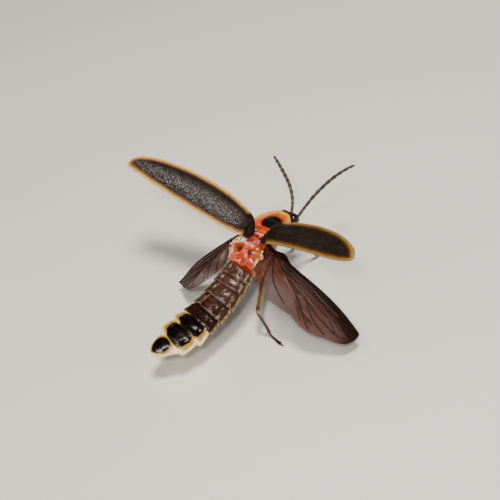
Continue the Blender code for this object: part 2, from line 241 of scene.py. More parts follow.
def line_distance(places: Array, line: Array) -> Array:
    """Distance from each place to a line of points.

    Args:
        places: Array of points, any leading shape.
        line: Points of the line in order.

    Returns:
        Distances with the leading shape of places.
    """
    flat = places.reshape(-1, places.shape[-1])
    best = np.full(len(flat), 1e9)
    for start, end in zip(line[:-1], line[1:]):
        run = end - start
        share = np.clip((flat - start) @ run / max(run @ run, 1e-12), 0.0, 1.0)
        best = np.minimum(best, np.linalg.norm(flat - start - share[:, None] * run, axis=1))
    return best.reshape(places.shape[:-1])


# Meshes


def grid_faces(rows: int, columns: int, wrap: bool = False) -> list[tuple]:
    """Four-cornered faces between points numbered row by row.

    Args:
        rows: Number of rows of points.
        columns: Number of points in a row.
        wrap: True where each row is a closed ring.

    Returns:
        Faces as tuples of point numbers.
    """
    faces = []
    for row in range(rows - 1):
        for column in range(columns if wrap else columns - 1):
            after = (column + 1) % columns
            faces.append((row * columns + column, row * columns + after,
                          (row + 1) * columns + after, (row + 1) * columns + column))
    return faces


@dataclass
class Draft:
    """Points, faces and painted values of one piece while it is built."""

    points: list[Array] = field(default_factory=list)
    faces: list[tuple] = field(default_factory=list)
    paint: dict[str, list[Array]] = field(default_factory=dict)
    spots: list[Array] = field(default_factory=list)
    count: int = 0

    def add(self, points: Array, faces: Sequence[tuple], spots: Array, **paint: Array) -> None:
        """Add one closed surface.

        Args:
            points: Its points, of any leading shape, in millimetres.
            faces: Faces numbered from its own first point.
            spots: Place of each point on an unwrap of the surface, within a unit square.
            **paint: A row of numbers for each point.
        """
        self.faces += [tuple(corner + self.count for corner in face) for face in faces]
        self.spots.append(spots)
        self.points.append(points.reshape(-1, 3))
        for name, values in paint.items():
            self.paint.setdefault(name, []).append(values)
        self.count += len(self.points[-1])

    def add_plate(self, middle: Array, up: Array, thick: Array | float,
                  **paint: Array | float) -> None:
        """Add a thin closed plate about a grid of points.

        Args:
            middle: Grid of points, rows by columns by 3.
            up: Direction of its upper face.
            thick: Thickness, one for all or one for each point.
            **paint: Values that spread over the grid, used on both faces.
        """
        rows, columns = middle.shape[:2]
        half = up * (np.asarray(thick, float)[..., None] / 2.0)
        total = rows * columns
        faces = grid_faces(rows, columns)
        faces += [tuple(corner + total for corner in face[::-1]) for face in faces]
        border = list(range(columns))
        border += [row * columns + columns - 1 for row in range(1, rows)]
        border += [(rows - 1) * columns + column for column in range(columns - 2, -1, -1)]
        border += [row * columns for row in range(rows - 2, 0, -1)]
        for here, after in zip(border, border[1:] + border[:1]):
            faces.append((after, here, total + here, total + after))
        spots = grid_spots(rows, columns) * (0.5, 1.0, 1.0)
        self.add(np.stack([middle + half, middle - half]), faces,
                 np.concatenate([spots, spots + (0.5, 0.0, 0.0)]),
                 **{name: np.concatenate([spread(values, rows, columns)] * 2)
                    for name, values in paint.items()})

    def add_rings(self, rings: Array, **paint: Array | float) -> None:
        """Add a closed body through rings, each end closed by a fan.

        Args:
            rings: Array of rings by points by 3.
            **paint: Values that spread over the rings.
        """
        rows, columns = rings.shape[:2]
        faces = grid_faces(rows, columns, wrap=True)
        first, last = rows * columns, rows * columns + 1
        for column in range(columns):
            after = (column + 1) % columns
            faces.append((first, after, column))
            faces.append((last, (rows - 1) * columns + column, (rows - 1) * columns + after))

        def with_ends(values: Array) -> Array:
            """Rows of numbers, with the mean of the first and of the last ring put after."""
            ends = values.reshape(rows, columns, -1)[[0, -1]].mean(axis=1)
            return np.concatenate([values, ends])

        spots = np.concatenate([grid_spots(rows, columns), [(0.5, 0.0, 0.0), (0.5, 1.0, 0.0)]])
        self.add(with_ends(rings.reshape(-1, 3)), faces, spots,
                 **{name: with_ends(spread(values, rows, columns))
                    for name, values in paint.items()})

    def add_limb(self, path: Array, radii: Array, sides: int = 14, flatten: float = 0.0,
                 lowest: float | None = None, **paint: Array) -> None:
        """Add a round limb along a path.

        Args:
            path: Points along its middle.
            radii: Radius at each point.
            sides: Points in a ring.
            flatten: Share by which its rings are lower than wide.
            lowest: Height below which no point goes, or None.
            **paint: One value or colour for the whole limb.
        """
        ahead = unit(np.gradient(path, axis=0))
        side = np.cross(ahead, (0.0, 0.0, 1.0))
        weak = np.linalg.norm(side, axis=1) < 0.05
        side[weak] = (1.0, 0.0, 0.0)
        side = unit(side)
        rise = np.cross(side, ahead)
        angle = np.linspace(0.0, math.tau, sides, endpoint=False)
        out = (side[:, None] * np.sin(angle)[:, None]
               + rise[:, None] * (np.cos(angle)[:, None] * (1.0 - flatten)))
        rings = path[:, None] + out * np.asarray(radii, float)[:, None, None]
        if lowest is not None:
            rings[..., 2] = np.maximum(rings[..., 2], lowest)
        self.add_rings(rings, **paint)

    def build(self, name: str, material: Material, shift: Array) -> Object:
        """Make the mesh object, in metres, with its faces outwards.

        Args:
            name: Name of the piece.
            material: Its material.
            shift: Move from the source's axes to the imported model's, in millimetres.

        Returns:
            The new object, at the origin.
        """
        mesh = bpy.data.meshes.new(name)
        points = (np.concatenate(self.points) + shift) * MM
        mesh.from_pydata(points.tolist(), [], self.faces)
        spots = [tiled(block, number, len(self.spots)) for number, block in enumerate(self.spots)]
        for label, blocks in [*self.paint.items(), ("spot", spots)]:
            mark_points(mesh, label, np.concatenate(blocks))
        mesh.validate()
        mesh.shade_smooth()
        mesh.set_sharp_from_angle(angle=math.radians(60.0))
        mesh.materials.append(material)
        return link_object(name, mesh)


def spread(values: Array | float, rows: int, columns: int) -> Array:
    """Spread values over a grid of points.

    Args:
        values: One number or direction for all points, for a row, or for each point.
        rows: Number of rows of points.
        columns: Number of points in a row.

    Returns:
        A row of one or three numbers for each point.
    """
    values = np.asarray(values, float)
    if values.shape[-1:] != (3,):
        values = values[..., None]
    wide = values.shape[-1]
    return np.broadcast_to(values, (rows, columns, wide)).reshape(-1, wide)


def mark_points(mesh: Mesh, label: str, values: Array) -> None:
    """Store numbers, directions or colours on a mesh's points.

    Args:
        mesh: The mesh.
        label: Name of the attribute; the one named tint holds colours.
        values: A row of numbers for each point.
    """
    kind, part = ("FLOAT", "value") if values.shape[1] == 1 else ("FLOAT_VECTOR", "vector")
    if label == "tint":
        kind, part = "FLOAT_COLOR", "color"
        values = np.insert(values, 3, 1.0, axis=1)
    layer = mesh.attributes.new(label, kind, "POINT")
    layer.data.foreach_set(part, values.astype(np.float32).ravel())


def link_object(name: str, data: ID) -> Object:
    """Make an object of a mesh, camera or light and link it to the scene.

    Args:
        name: Its name.
        data: What it shows.

    Returns:
        The new object, at the origin.
    """
    made = bpy.data.objects.new(name, data)
    bpy.context.scene.collection.objects.link(made)
    return made


def grid_spots(rows: int, columns: int) -> Array:
    """Places of a grid's points on a unit square, as an unwrap of it.

    Args:
        rows: Number of rows of points.
        columns: Number of points in a row.

    Returns:
        One place for each point, with a third number of 0.
    """
    down, along = np.meshgrid((np.arange(rows) + 0.5) / rows,
                              (np.arange(columns) + 0.5) / columns, indexing="ij")
    return np.stack([along, down, np.zeros_like(along)], axis=-1).reshape(-1, 3)


def tiled(spots: Array, tile: Array | int, tiles: int) -> Array:
    """Shrink unit-square places into their tile of a square sheet of tiles.

    Args:
        spots: Places on unit squares.
        tile: Number of the tile of each place.
        tiles: How many tiles there are.

    Returns:
        Places on the whole sheet.
    """
    wide = math.ceil(math.sqrt(tiles))
    tile = np.broadcast_to(tile, spots.shape[:1])
    corner = np.stack([tile % wide, tile // wide, tile * 0], axis=-1)
    return (spots * (1.0, 1.0, 0.0) * 0.96 + 0.02 * np.array((1.0, 1.0, 0.0)) + corner) / wide


def layered(tint: Array, *layers: tuple[str, Array]) -> Array:
    """Lay colours over painted colours, one after the other.

    Args:
        tint: Colours so far, last axis of 3.
        *layers: Hex code of each colour, and how much of it shows at each place.

    Returns:
        The new colours.
    """
    for colour, share in layers:
        tint = tint + (linear(colour) - tint) * np.clip(np.asarray(share), 0.0, 1.0)[..., None]
    return tint


def plain_tint(shape: Sequence[int], colour: str) -> Array:
    """Array of one colour with the given leading shape."""
    return np.broadcast_to(linear(colour), (*shape, 3)).copy()


# Materials


def add_node(tree: NodeTree, kind: str, inputs: dict | None = None,
             stops: Sequence[tuple[float, str]] = (), **settings: object) -> Node:
    """Add one node with its settings, values and links.

    Args:
        tree: Tree that gets the node.
        kind: Blender's name of the node type.
        inputs: Values, sockets or nodes for its inputs, by name or number.
        stops: Places and hex colours of a colour ramp.
        **settings: Properties of the node.

    Returns:
        The new node.
    """
    node = tree.nodes.new(kind)
    for name, value in settings.items():
        setattr(node, name, value)
    fill(tree, node, inputs or {})
    if stops:
        ramp = node.color_ramp
        while len(ramp.elements) < len(stops):
            ramp.elements.new(1.0)
        for element, (place, code) in zip(ramp.elements, stops):
            element.position = place
            element.color = (*linear(code), 1.0)
    return node


def fill(tree: NodeTree, node: Node, inputs: dict) -> None:
    """Give inputs of a node their values and links.

    Args:
        tree: Tree that holds the node.
        node: The node.
        inputs: Values, sockets, or nodes that stand for their first output.
    """
    for key, value in inputs.items():
        if isinstance(value, Node):
            value = value.outputs[0]
        if isinstance(value, NodeSocket):
            tree.links.new(value, node.inputs[key])
        else:
            node.inputs[key].default_value = value


def start_material(name: str) -> tuple[Material, NodeTree, Node, NodeSocket]:
    """Start a finish.

    Args:
        name: Its name.

    Returns:
        The material, its tree, its shader and its object coordinates.
    """
    material = bpy.data.materials.new(name)
    material.use_nodes = True
    tree = material.node_tree
    place = add_node(tree, "ShaderNodeTexCoord").outputs["Object"]
    return material, tree, tree.nodes["Principled BSDF"], place


class Lay(Enum):
    """How a cuticle's fine relief is laid out."""

    PEBBLED = "pebbled"
    SILKY = "silky"
    GRAINED = "grained"


@dataclass(frozen=True)
class Cuticle:
    """Sclerotised chitin, grown smooth and tanned, painted by the piece's own tint.

    Thin wax over hard chitin gives a clear, slightly broken gloss.  Each
    colour is mottled at about a third of a millimetre and the relief is
    drawn near 0.04 mm, coarser than the real 0.01 mm so that it shows.
    """

    name: str
    roughness: float = 0.32
    specular: float = 0.5
    coat: float = 0.0
    relief: float = 0.25
    relief_size: float = 0.045
    mottle: float = 0.22
    soft: float = 0.0
    lay: Lay = Lay.PEBBLED

    def build(self) -> Material:
        """Make the material.

        Returns:
            Material that reads the tint attribute and object coordinates.
        """
        material, tree, shader, place = start_material(self.name)
        tint = add_node(tree, "ShaderNodeAttribute", attribute_name="tint")
        clouds = add_node(tree, "ShaderNodeTexNoise",
                          {"Vector": place, "Scale": 1.0 / (0.33 * MM), "Detail": 4.0})
        shade, rough = (add_node(tree, "ShaderNodeMapRange",
                                 {"Value": clouds, "From Min": 0.3, "From Max": 0.7,
                                  "To Min": low, "To Max": high})
                        for low, high in ((1.0 - self.mottle, 1.0 + self.mottle),
                                          (self.roughness * 0.8, self.roughness * 1.25)))
        relief = add_node(tree, "ShaderNodeBump",
                          {"Height": self._relief(tree, place), "Strength": self.relief,
                           "Distance": 0.02 * MM})
        fill(tree, shader, {
            "Base Color": add_node(tree, "ShaderNodeVectorMath", {0: tint, 1: shade},
                                   operation="MULTIPLY"),
            "Roughness": rough, "Normal": relief, "IOR": 1.56,
            "Specular IOR Level": self.specular, "Coat Weight": self.coat,
            "Coat Roughness": 0.06})
        if self.soft:
            fill(tree, shader, {"Subsurface Weight": self.soft,
                                "Subsurface Radius": (1.0, 0.35, 0.12),
                                "Subsurface Scale": 0.25 * MM})
        return material

    def _relief(self, tree: NodeTree, place: NodeSocket) -> Node:
        """Add the height pattern for this lay.

        Args:
            tree: The material's tree.
            place: Object coordinates.

        Returns:
            Node whose first output is the height.
        """
        scale = 1.0 / (self.relief_size * MM)
        if self.lay is Lay.SILKY:
            return add_node(tree, "ShaderNodeTexNoise",
                            {"Vector": place, "Scale": scale * 0.5, "Detail": 3.0,
                             "Distortion": 1.5})
        cells = add_node(tree, "ShaderNodeTexVoronoi", {"Vector": place, "Scale": scale})
        if self.lay is Lay.PEBBLED:
            return cells
        grit = add_node(tree, "ShaderNodeTexNoise",
                        {"Vector": place, "Scale": scale * 0.8, "Detail": 5.0})
        return add_node(tree, "ShaderNodeMath", {0: cells, 1: grit}, operation="ADD")


@dataclass(frozen=True)
class WingCoverShell:
    """Leathery wing cover: dull tanned chitin with a pale border and fine down.

    Dense shallow pits with a silvery hair each, about 0.07 mm apart, make
    a dark matt ground.  Its glitter is partly real gloss and partly painted:
    pale specks of the down are laid into the colour where the light strikes.
    """

    name: str
    border: str
    tan: str
    dark: str = "#120a05"
    brown: str = "#25170c"
    # Strength of the pale specks: silvery down, painted brighter as glints
    silver: float = 0.62
    border_width: float = 0.45
    fade: str = "#46280f"
    inner: str = "#241409"
    pit: float = 0.1
    tuft: float = 0.085

    def build(self) -> Material:
        """Make the material.

        Returns:
            Material that reads the edge attribute, in millimetres, and object coordinates.
        """
        material, tree, shader, place = start_material(self.name)
        edge = add_node(tree, "ShaderNodeAttribute", attribute_name="edge").outputs["Fac"]
        clouds = add_node(tree, "ShaderNodeTexNoise",
                          {"Vector": place, "Scale": 1.0 / (0.6 * MM), "Detail": 5.0})
        wander = add_node(tree, "ShaderNodeMapRange",
                          {"Value": clouds, "From Min": 0.3, "From Max": 0.7,
                           "To Min": -0.03, "To Max": 0.03})
        reach = add_node(tree, "ShaderNodeMath", {0: edge, 1: wander}, operation="ADD")
        ground = add_node(tree, "ShaderNodeValToRGB", {"Fac": clouds},
                          stops=((0.35, self.dark), (0.7, self.brown)))
        across = add_node(tree, "ShaderNodeMath", {0: reach, 1: self.border_width},
                          operation="DIVIDE")
        margin = add_node(tree, "ShaderNodeValToRGB", {"Fac": across},
                          stops=((0.0, self.border), (0.2, self.border), (0.42, self.tan),
                                 (0.68, self.fade), (0.95, self.inner)))
        share = add_node(tree, "ShaderNodeMapRange",
                         {"Value": across, "From Min": 0.6, "From Max": 1.0,
                          "To Min": 1.0, "To Max": 0.0}, interpolation_type="SMOOTHSTEP")
        pale = add_node(tree, "ShaderNodeMix", {"Factor": share, 6: ground, 7: margin},
                        data_type="RGBA").outputs[2]
        # Painted glints: pale specks of the silvery down laid into the colour, strongest where the
        # mask says the light strikes
        grain = add_node(tree, "ShaderNodeAttribute", attribute_name="grain").outputs["Fac"]
        cells = add_node(tree, "ShaderNodeTexVoronoi",
                         {"Vector": place, "Scale": 1.0 / (self.tuft * MM)})
        chance = add_node(tree, "ShaderNodeSeparateColor", {0: cells.outputs["Color"]})
        lit = add_node(tree, "ShaderNodeMapRange",
                       {"Value": chance, "From Min": 0.1, "From Max": 1.0})
        dot = add_node(tree, "ShaderNodeMapRange",
                       {"Value": cells, "From Min": 0.2, "From Max": 0.6,
                        "To Min": 1.0, "To Max": 0.0})
        glint_speck = add_node(tree, "ShaderNodeMath", {0: lit, 1: dot}, operation="MULTIPLY")
        strength = add_node(tree, "ShaderNodeMath", {0: grain, 1: self.silver},
                            operation="MULTIPLY")
        silver = add_node(tree, "ShaderNodeMath", {0: glint_speck, 1: strength}, operation="MULTIPLY")
        downy = add_node(tree, "ShaderNodeMix",
                         {"Factor": silver, 6: pale, 7: (*linear("#aab0b2"), 1.0)},
                         data_type="RGBA").outputs[2]
        pits = add_node(tree, "ShaderNodeTexVoronoi",
                        {"Vector": place, "Scale": 1.0 / (self.pit * MM)})
        grit = add_node(tree, "ShaderNodeTexNoise",
                        {"Vector": place, "Scale": 1.0 / (0.11 * MM), "Detail": 4.0})
        height = add_node(tree, "ShaderNodeMath", {0: pits, 1: grit}, operation="ADD")
        graded = add_node(tree, "ShaderNodeMath", {0: height, 1: grain}, operation="MULTIPLY")
        relief = add_node(tree, "ShaderNodeBump",
                          {"Height": graded, "Strength": 0.3, "Distance": 0.03 * MM})
        rough = add_node(tree, "ShaderNodeMapRange",
                         {"Value": grain, "From Min": 0.0, "From Max": 1.0,
                          "To Min": 0.62, "To Max": 0.38})
        fill(tree, shader, {"Base Color": downy, "Normal": relief, "Roughness": rough,
                            "IOR": 1.56, "Specular IOR Level": 0.09, "Sheen Weight": 0.02,
                            "Sheen Roughness": 0.35})
        return material


@dataclass(frozen=True)
class WingFilm:
    """Flying wing: two layers of clear smoky cuticle, dried flat between veins.

    It is see-through, glossy and a little wrinkled, so it darkens what lies
    behind it and catches thin lines of light on its folds.
    """

    name: str = "smoky_wing_film"

    def build(self) -> Material:
        """Make the material.

        Returns:
            Material that reads the tint attribute and object coordinates.
        """
        material, tree, shader, place = start_material(self.name)
        tint = add_node(tree, "ShaderNodeAttribute", attribute_name="tint")
        clouds = add_node(tree, "ShaderNodeTexNoise",
                          {"Vector": place, "Scale": 1.0 / (0.5 * MM), "Detail": 5.0})
        shade = add_node(tree, "ShaderNodeMapRange",
                         {"Value": clouds, "From Min": 0.3, "From Max": 0.7,
                          "To Min": 0.75, "To Max": 1.15})
        coloured = add_node(tree, "ShaderNodeVectorMath", {0: tint, 1: shade},
                            operation="MULTIPLY")
        creases = add_node(tree, "ShaderNodeTexNoise",
                           {"Vector": place, "Scale": 1.0 / (0.16 * MM), "Detail": 4.0,
                            "Distortion": 1.0})
        relief = add_node(tree, "ShaderNodeBump",
                          {"Height": creases, "Strength": 0.4, "Distance": 0.04 * MM})
        cover = add_node(tree, "ShaderNodeAttribute", attribute_name="cover").outputs["Fac"]
        fill(tree, shader, {"Base Color": coloured, "Normal": relief, "Roughness": 0.4,
                            "Specular IOR Level": 0.09, "Alpha": cover})
        return material


@dataclass(frozen=True)
class EyeLens:
    """Compound eye: hard clear lenses over black pigment, polished by wax."""

    name: str = "black_eye_lenses"
    colour: str = "#0a0504"

    def build(self) -> Material:
        """Make the material.

        Returns:
            Glossy black material with faint brown clouds.
        """
        material, tree, shader, place = start_material(self.name)
        clouds = add_node(tree, "ShaderNodeTexNoise",
                          {"Vector": place, "Scale": 1.0 / (0.2 * MM), "Detail": 3.0})
        colour = add_node(tree, "ShaderNodeValToRGB", {"Fac": clouds},
                          stops=((0.3, self.colour), (0.8, "#260e09")))
        rough = add_node(tree, "ShaderNodeMapRange",
                         {"Value": clouds, "To Min": 0.08, "To Max": 0.2})
        fill(tree, shader, {"Base Color": colour, "Roughness": rough,
                            "Specular IOR Level": 0.3, "Coat Weight": 0.35,
                            "Coat Roughness": 0.05})
        return material


@dataclass(frozen=True)
class Bristle:
    """Fine hair of clear chitin; it is smooth, so it shines along its length."""

    name: str
    root: str = "#3a2412"
    tip: str = "#c9a869"

    def build(self) -> Material:
        """Make the material.

        Returns:
            Material whose colour varies from hair to hair by place.
        """
        material, tree, shader, place = start_material(self.name)
        clouds = add_node(tree, "ShaderNodeTexNoise",
                          {"Vector": place, "Scale": 1.0 / (0.09 * MM), "Detail": 2.0})
        colour = add_node(tree, "ShaderNodeValToRGB", {"Fac": clouds},
                          stops=((0.35, self.root), (0.65, self.tip)))
        fill(tree, shader, {"Base Color": colour, "Roughness": 0.28, "IOR": 1.55})
        return material


# Geometry Nodes trees


def start_tree(name: str, kinds: dict[str, str]) -> tuple[NodeTree, NodeOutputs]:
    """Start a tree that takes a geometry and some named sizes.

    Args:
        name: Name of what it makes.
        kinds: Kind of each size, Float or Int, by its name.

    Returns:
        The tree, and its inputs as sockets.
    """
    tree = bpy.data.node_groups.new(name + "_tree", "GeometryNodeTree")
    for label, kind in {"Geometry": "Geometry", **kinds}.items():
        tree.interface.new_socket(label, in_out="INPUT", socket_type="NodeSocket" + kind)
    tree.interface.new_socket("Geometry", in_out="OUTPUT", socket_type="NodeSocketGeometry")
    return tree, add_node(tree, "NodeGroupInput").outputs


def end_tree(tree: NodeTree, real: Node, material: Material) -> NodeTree:
    """Dress a tree's realized mesh and make it the tree's result.

    Args:
        tree: The tree.
        real: Its last node.
        material: Finish of what it makes.

    Returns:
        The same tree.
    """
    dressed = add_node(tree, "GeometryNodeSetMaterial", {"Geometry": real, "Material": material})
    add_node(tree, "NodeGroupOutput", {"Geometry": dressed})
    return tree


@dataclass(frozen=True)
class HairCoat:
    """Short hairs set over a surface where its hair attribute says."""

    name: str
    density: float
    length: float
    radius: float
    lean: float
    seed: int

    def _tree(self, material: Material) -> NodeTree:
        """Build the tree with named inputs.

        Args:
            material: Finish of the hairs.

        Returns:
            The node tree.
        """
        kinds = dict.fromkeys(("Hairs per square mm", "Length mm", "Radius mm", "Lean"), "Float")
        tree, given = start_tree(self.name, {**kinds, "Seed": "Int"})
        coverage, lie, root, corner = (
            add_node(tree, "GeometryNodeInputNamedAttribute", {"Name": name}, data_type=kind)
            for name, kind in (("hair", "FLOAT"), ("lie", "FLOAT_VECTOR"),
                               ("spot", "FLOAT_VECTOR"), ("patch", "FLOAT_VECTOR")))
        count = add_node(tree, "ShaderNodeMath", {0: given["Hairs per square mm"], 1: 1e6},
                         operation="MULTIPLY")
        amount = add_node(tree, "ShaderNodeMath", {0: count, 1: coverage}, operation="MULTIPLY")
        scattered = add_node(tree, "GeometryNodeDistributePointsOnFaces",
                             {"Mesh": given["Geometry"], "Density": amount,
                              "Seed": given["Seed"]}, distribute_method="RANDOM")
        stroke = add_node(tree, "ShaderNodeVectorMath", {0: lie, "Scale": given["Lean"]},
                          operation="SCALE")
        jitter = add_node(tree, "FunctionNodeRandomValue",
                          {0: (-0.22, -0.22, -0.22), 1: (0.22, 0.22, 0.22),
                           "Seed": given["Seed"]}, data_type="FLOAT_VECTOR")
        leaning = add_node(tree, "ShaderNodeVectorMath",
                           {0: scattered.outputs["Normal"], 1: stroke}, operation="ADD")
        stirred = add_node(tree, "ShaderNodeVectorMath", {0: leaning, 1: jitter}, operation="ADD")
        turned = add_node(tree, "FunctionNodeAlignRotationToVector", {"Vector": stirred},
                          axis="Z")
        radius, length = (
            add_node(tree, "ShaderNodeMath", {0: given[name], 1: MM}, operation="MULTIPLY")
            for name in ("Radius mm", "Length mm"))
        cone = add_node(tree, "GeometryNodeMeshCone",
                        {"Vertices": 3, "Side Segments": 1, "Fill Segments": 1,
                         "Radius Top": 0.0, "Radius Bottom": radius, "Depth": length},
                        fill_type="TRIANGLE_FAN")
        axes = add_node(tree, "ShaderNodeSeparateXYZ",
                        {0: add_node(tree, "GeometryNodeInputPosition")}).outputs
        wide, tall = (
            add_node(tree, "ShaderNodeMath", {0: axes[axis], 1: reach}, operation="DIVIDE")
            for axis, reach in (("X", radius), ("Z", length)))
        patch = add_node(tree, "ShaderNodeCombineXYZ", {"X": wide, "Y": tall})
        # Each hair takes a patch of this size at its root's place on the unwrap
        sized = add_node(tree, "ShaderNodeVectorMath", {0: patch, "Scale": 0.0015},
                         operation="SCALE")
        hair = add_node(tree, "GeometryNodeStoreNamedAttribute",
                        {"Geometry": cone, "Name": "patch", "Value": sized},
                        data_type="FLOAT_VECTOR", domain="POINT")
        size = add_node(tree, "FunctionNodeRandomValue",
                        {2: 0.6, 3: 1.25, "Seed": given["Seed"]}, data_type="FLOAT")
        placed = add_node(tree, "GeometryNodeInstanceOnPoints",
                          {"Points": scattered, "Instance": hair, "Rotation": turned,
                           "Scale": size.outputs[1]})
        real = add_node(tree, "GeometryNodeRealizeInstances", {"Geometry": placed})
        unwrap = add_node(tree, "ShaderNodeVectorMath", {0: root, 1: corner}, operation="ADD")
        mapped = add_node(tree, "GeometryNodeStoreNamedAttribute",
                          {"Geometry": real, "Name": "OFBake", "Value": unwrap},
                          data_type="FLOAT2", domain="CORNER")
        return end_tree(tree, mapped, material)

    def grow(self, skins: Sequence[Object], material: Material) -> Object:
        """Grow the coat on a joined copy of some skins.

        Args:
            skins: Pieces with hair and lie attributes.
            material: Finish of the hairs.

        Returns:
            One plain mesh object with all the hairs.
        """
        values = {"Hairs per square mm": self.density, "Length mm": self.length,
                  "Radius mm": self.radius, "Lean": self.lean, "Seed": self.seed}
        return grow_from_tree(self.name, skins, self._tree(material), values)


def grow_from_tree(name: str, sources: Sequence[Object],
                   tree: NodeTree, values: dict[str, float]) -> Object:
    """Run a tree on a joined copy of some meshes and keep the result as a plain mesh.

    Args:
        name: Name of the new piece.
        sources: Objects whose meshes the tree reads.
        tree: The tree, with named inputs.
        values: Values of its inputs.

    Returns:
        The new object, with no modifier.
    """
    copies = []
    for number, source in enumerate(sources):
        copy = source.copy()
        copy.data = source.data.copy()
        spot = copy.data.attributes.get("spot")
        if spot:
            places = np.empty(len(copy.data.vertices) * 3, np.float32)
            spot.data.foreach_get("vector", places)
            moved = tiled(places.reshape(-1, 3), number, len(sources))
            spot.data.foreach_set("vector", moved.astype(np.float32).ravel())
        bpy.context.scene.collection.objects.link(copy)
        copies.append(copy)
    base = copies[0]
    if len(copies) > 1:
        with bpy.context.temp_override(active_object=base, object=base,
                                       selected_objects=copies,
                                       selected_editable_objects=copies):
            bpy.ops.object.join()
    modifier = base.modifiers.new("grow", "NODES")
    modifier.node_group = tree
    for item in tree.interface.items_tree:
        if item.in_out == "INPUT" and item.name in values:
            modifier[item.identifier] = values[item.name]
    graph = bpy.context.evaluated_depsgraph_get()
    mesh = bpy.data.meshes.new_from_object(base.evaluated_get(graph), depsgraph=graph)
    mesh.name = name
    bpy.data.objects.remove(base, do_unlink=True)
    return link_object(name, mesh)


@dataclass(frozen=True)
class TubeAlong:
    """Tubes along the lines of a mesh, as thick as its thick attribute says."""

    name: str
    sides: int = 8

    def _tree(self, material: Material) -> NodeTree:
        """Build the tree with named inputs.

        Args:
            material: Finish of the tubes.

        Returns:
            The node tree.
        """
        tree, given = start_tree(self.name, {"Sides": "Int"})
        lines = add_node(tree, "GeometryNodeMeshToCurve", {"Mesh": given["Geometry"]})
        thick = add_node(tree, "GeometryNodeInputNamedAttribute", {"Name": "thick"},
                         data_type="FLOAT")
        ring = add_node(tree, "GeometryNodeCurvePrimitiveCircle",
                        {"Resolution": given["Sides"], "Radius": 1.0})
        # The tube's own scale input takes the thickness along each line
        sized = add_node(tree, "GeometryNodeSetCurveRadius", {"Curve": lines, "Radius": thick})
        tubes = add_node(tree, "GeometryNodeCurveToMesh",
                         {"Curve": sized, "Profile Curve": ring, "Fill Caps": True})
        if "Scale" in tubes.inputs:
            fill(tree, tubes, {"Scale": thick})
        round_off = add_node(tree, "GeometryNodeSetShadeSmooth", {"Geometry": tubes})
        real = add_node(tree, "GeometryNodeRealizeInstances", {"Geometry": round_off})
        return end_tree(tree, real, material)

    def lay(self, lines: Sequence[tuple[Array, Array]], material: Material,
            shift: Array) -> Object:
        """Lay tubes along lines.

        Args:
            lines: Pairs of points and radii, both in millimetres.
            material: Finish of the tubes.
            shift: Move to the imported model's axes, in millimetres.

        Returns:
            One plain mesh object.
        """
        points = np.concatenate([line for line, radii in lines])
        thick = np.concatenate([radii for line, radii in lines]) * MM
        edges, start = [], 0
        for line, _ in lines:
            edges += [(start + step, start + step + 1) for step in range(len(line) - 1)]
            start += len(line)
        mesh = bpy.data.meshes.new(self.name)
        mesh.from_pydata(((points + shift) * MM).tolist(), edges, [])
        mark_points(mesh, "thick", thick[:, None])
        source = link_object(self.name + "_lines", mesh)
        piece = grow_from_tree(self.name, [source], self._tree(material), {"Sides": self.sides})
        bpy.data.objects.remove(source, do_unlink=True)
        return piece


Finish = Cuticle | WingCoverShell | WingFilm | EyeLens | Bristle


@dataclass
class Workshop:
    """What every part of the body needs: its place and its finishes."""

    shift: Array
    finishes: dict[str, Material] = field(default_factory=dict)

    def finish(self, kind: Finish) -> Material:
        """Material of a finish, made once.

        Args:
            kind: The finish.

        Returns:
            Its material.
        """
        if kind.name not in self.finishes:
            self.finishes[kind.name] = kind.build()
        return self.finishes[kind.name]

    def keep(self, piece: Object, slot: str, *nodes: str) -> Object:
        """Give a finished piece to the frame.

        Args:
            piece: The piece.
            slot: Its material slot in the record; not used.
            *nodes: Solids that it stands for.

        Returns:
            The same piece.
        """
        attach(piece, "root")
        if nodes:
            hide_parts(*nodes)
        LOG.info("%s: %d faces", piece.name, len(piece.data.polygons))
        return piece

    def make(self, draft: Draft, name: str, kind: Finish, slot: str, *nodes: str) -> Object:
        """Build a drafted piece with its finish and keep it."""
        return self.keep(draft.build(name, self.finish(kind), self.shift), slot, *nodes)


# Thorax axes, shared by the pieces that it carries


@dataclass(frozen=True)
class ThoraxFrame:
    """Pitch and height of the thorax over the floor."""

    height: float = 5.0
    pitch: float = math.radians(16.0)

    def place(self, points: Array) -> Array:
        """Turn points in the thorax's own axes into the source's axes."""
        turned = rotate(np.asarray(points, float), np.array([1.0, 0.0, 0.0]), -self.pitch)
        return turned + np.array([0.0, 0.0, self.height])


THORAX = ThoraxFrame()


@dataclass(frozen=True)
class Mark:
    """A groove, ridge or patch on the back of the thorax, along a line."""

    line: tuple[Flat, ...]
    width: float
    rise: float
    colour: str
    strength: float = 1.0

    def share(self, places: Array) -> Array:
        """How strongly the mark holds at each place, from 0 to 1."""
        line = np.asarray(self.line, float)
        if len(line) == 1:
            away = np.linalg.norm(places - line[0], axis=-1)
        else:
            away = line_distance(places, through(line, 8 * len(line)))
        return np.exp(-((away / self.width) ** 2.6))


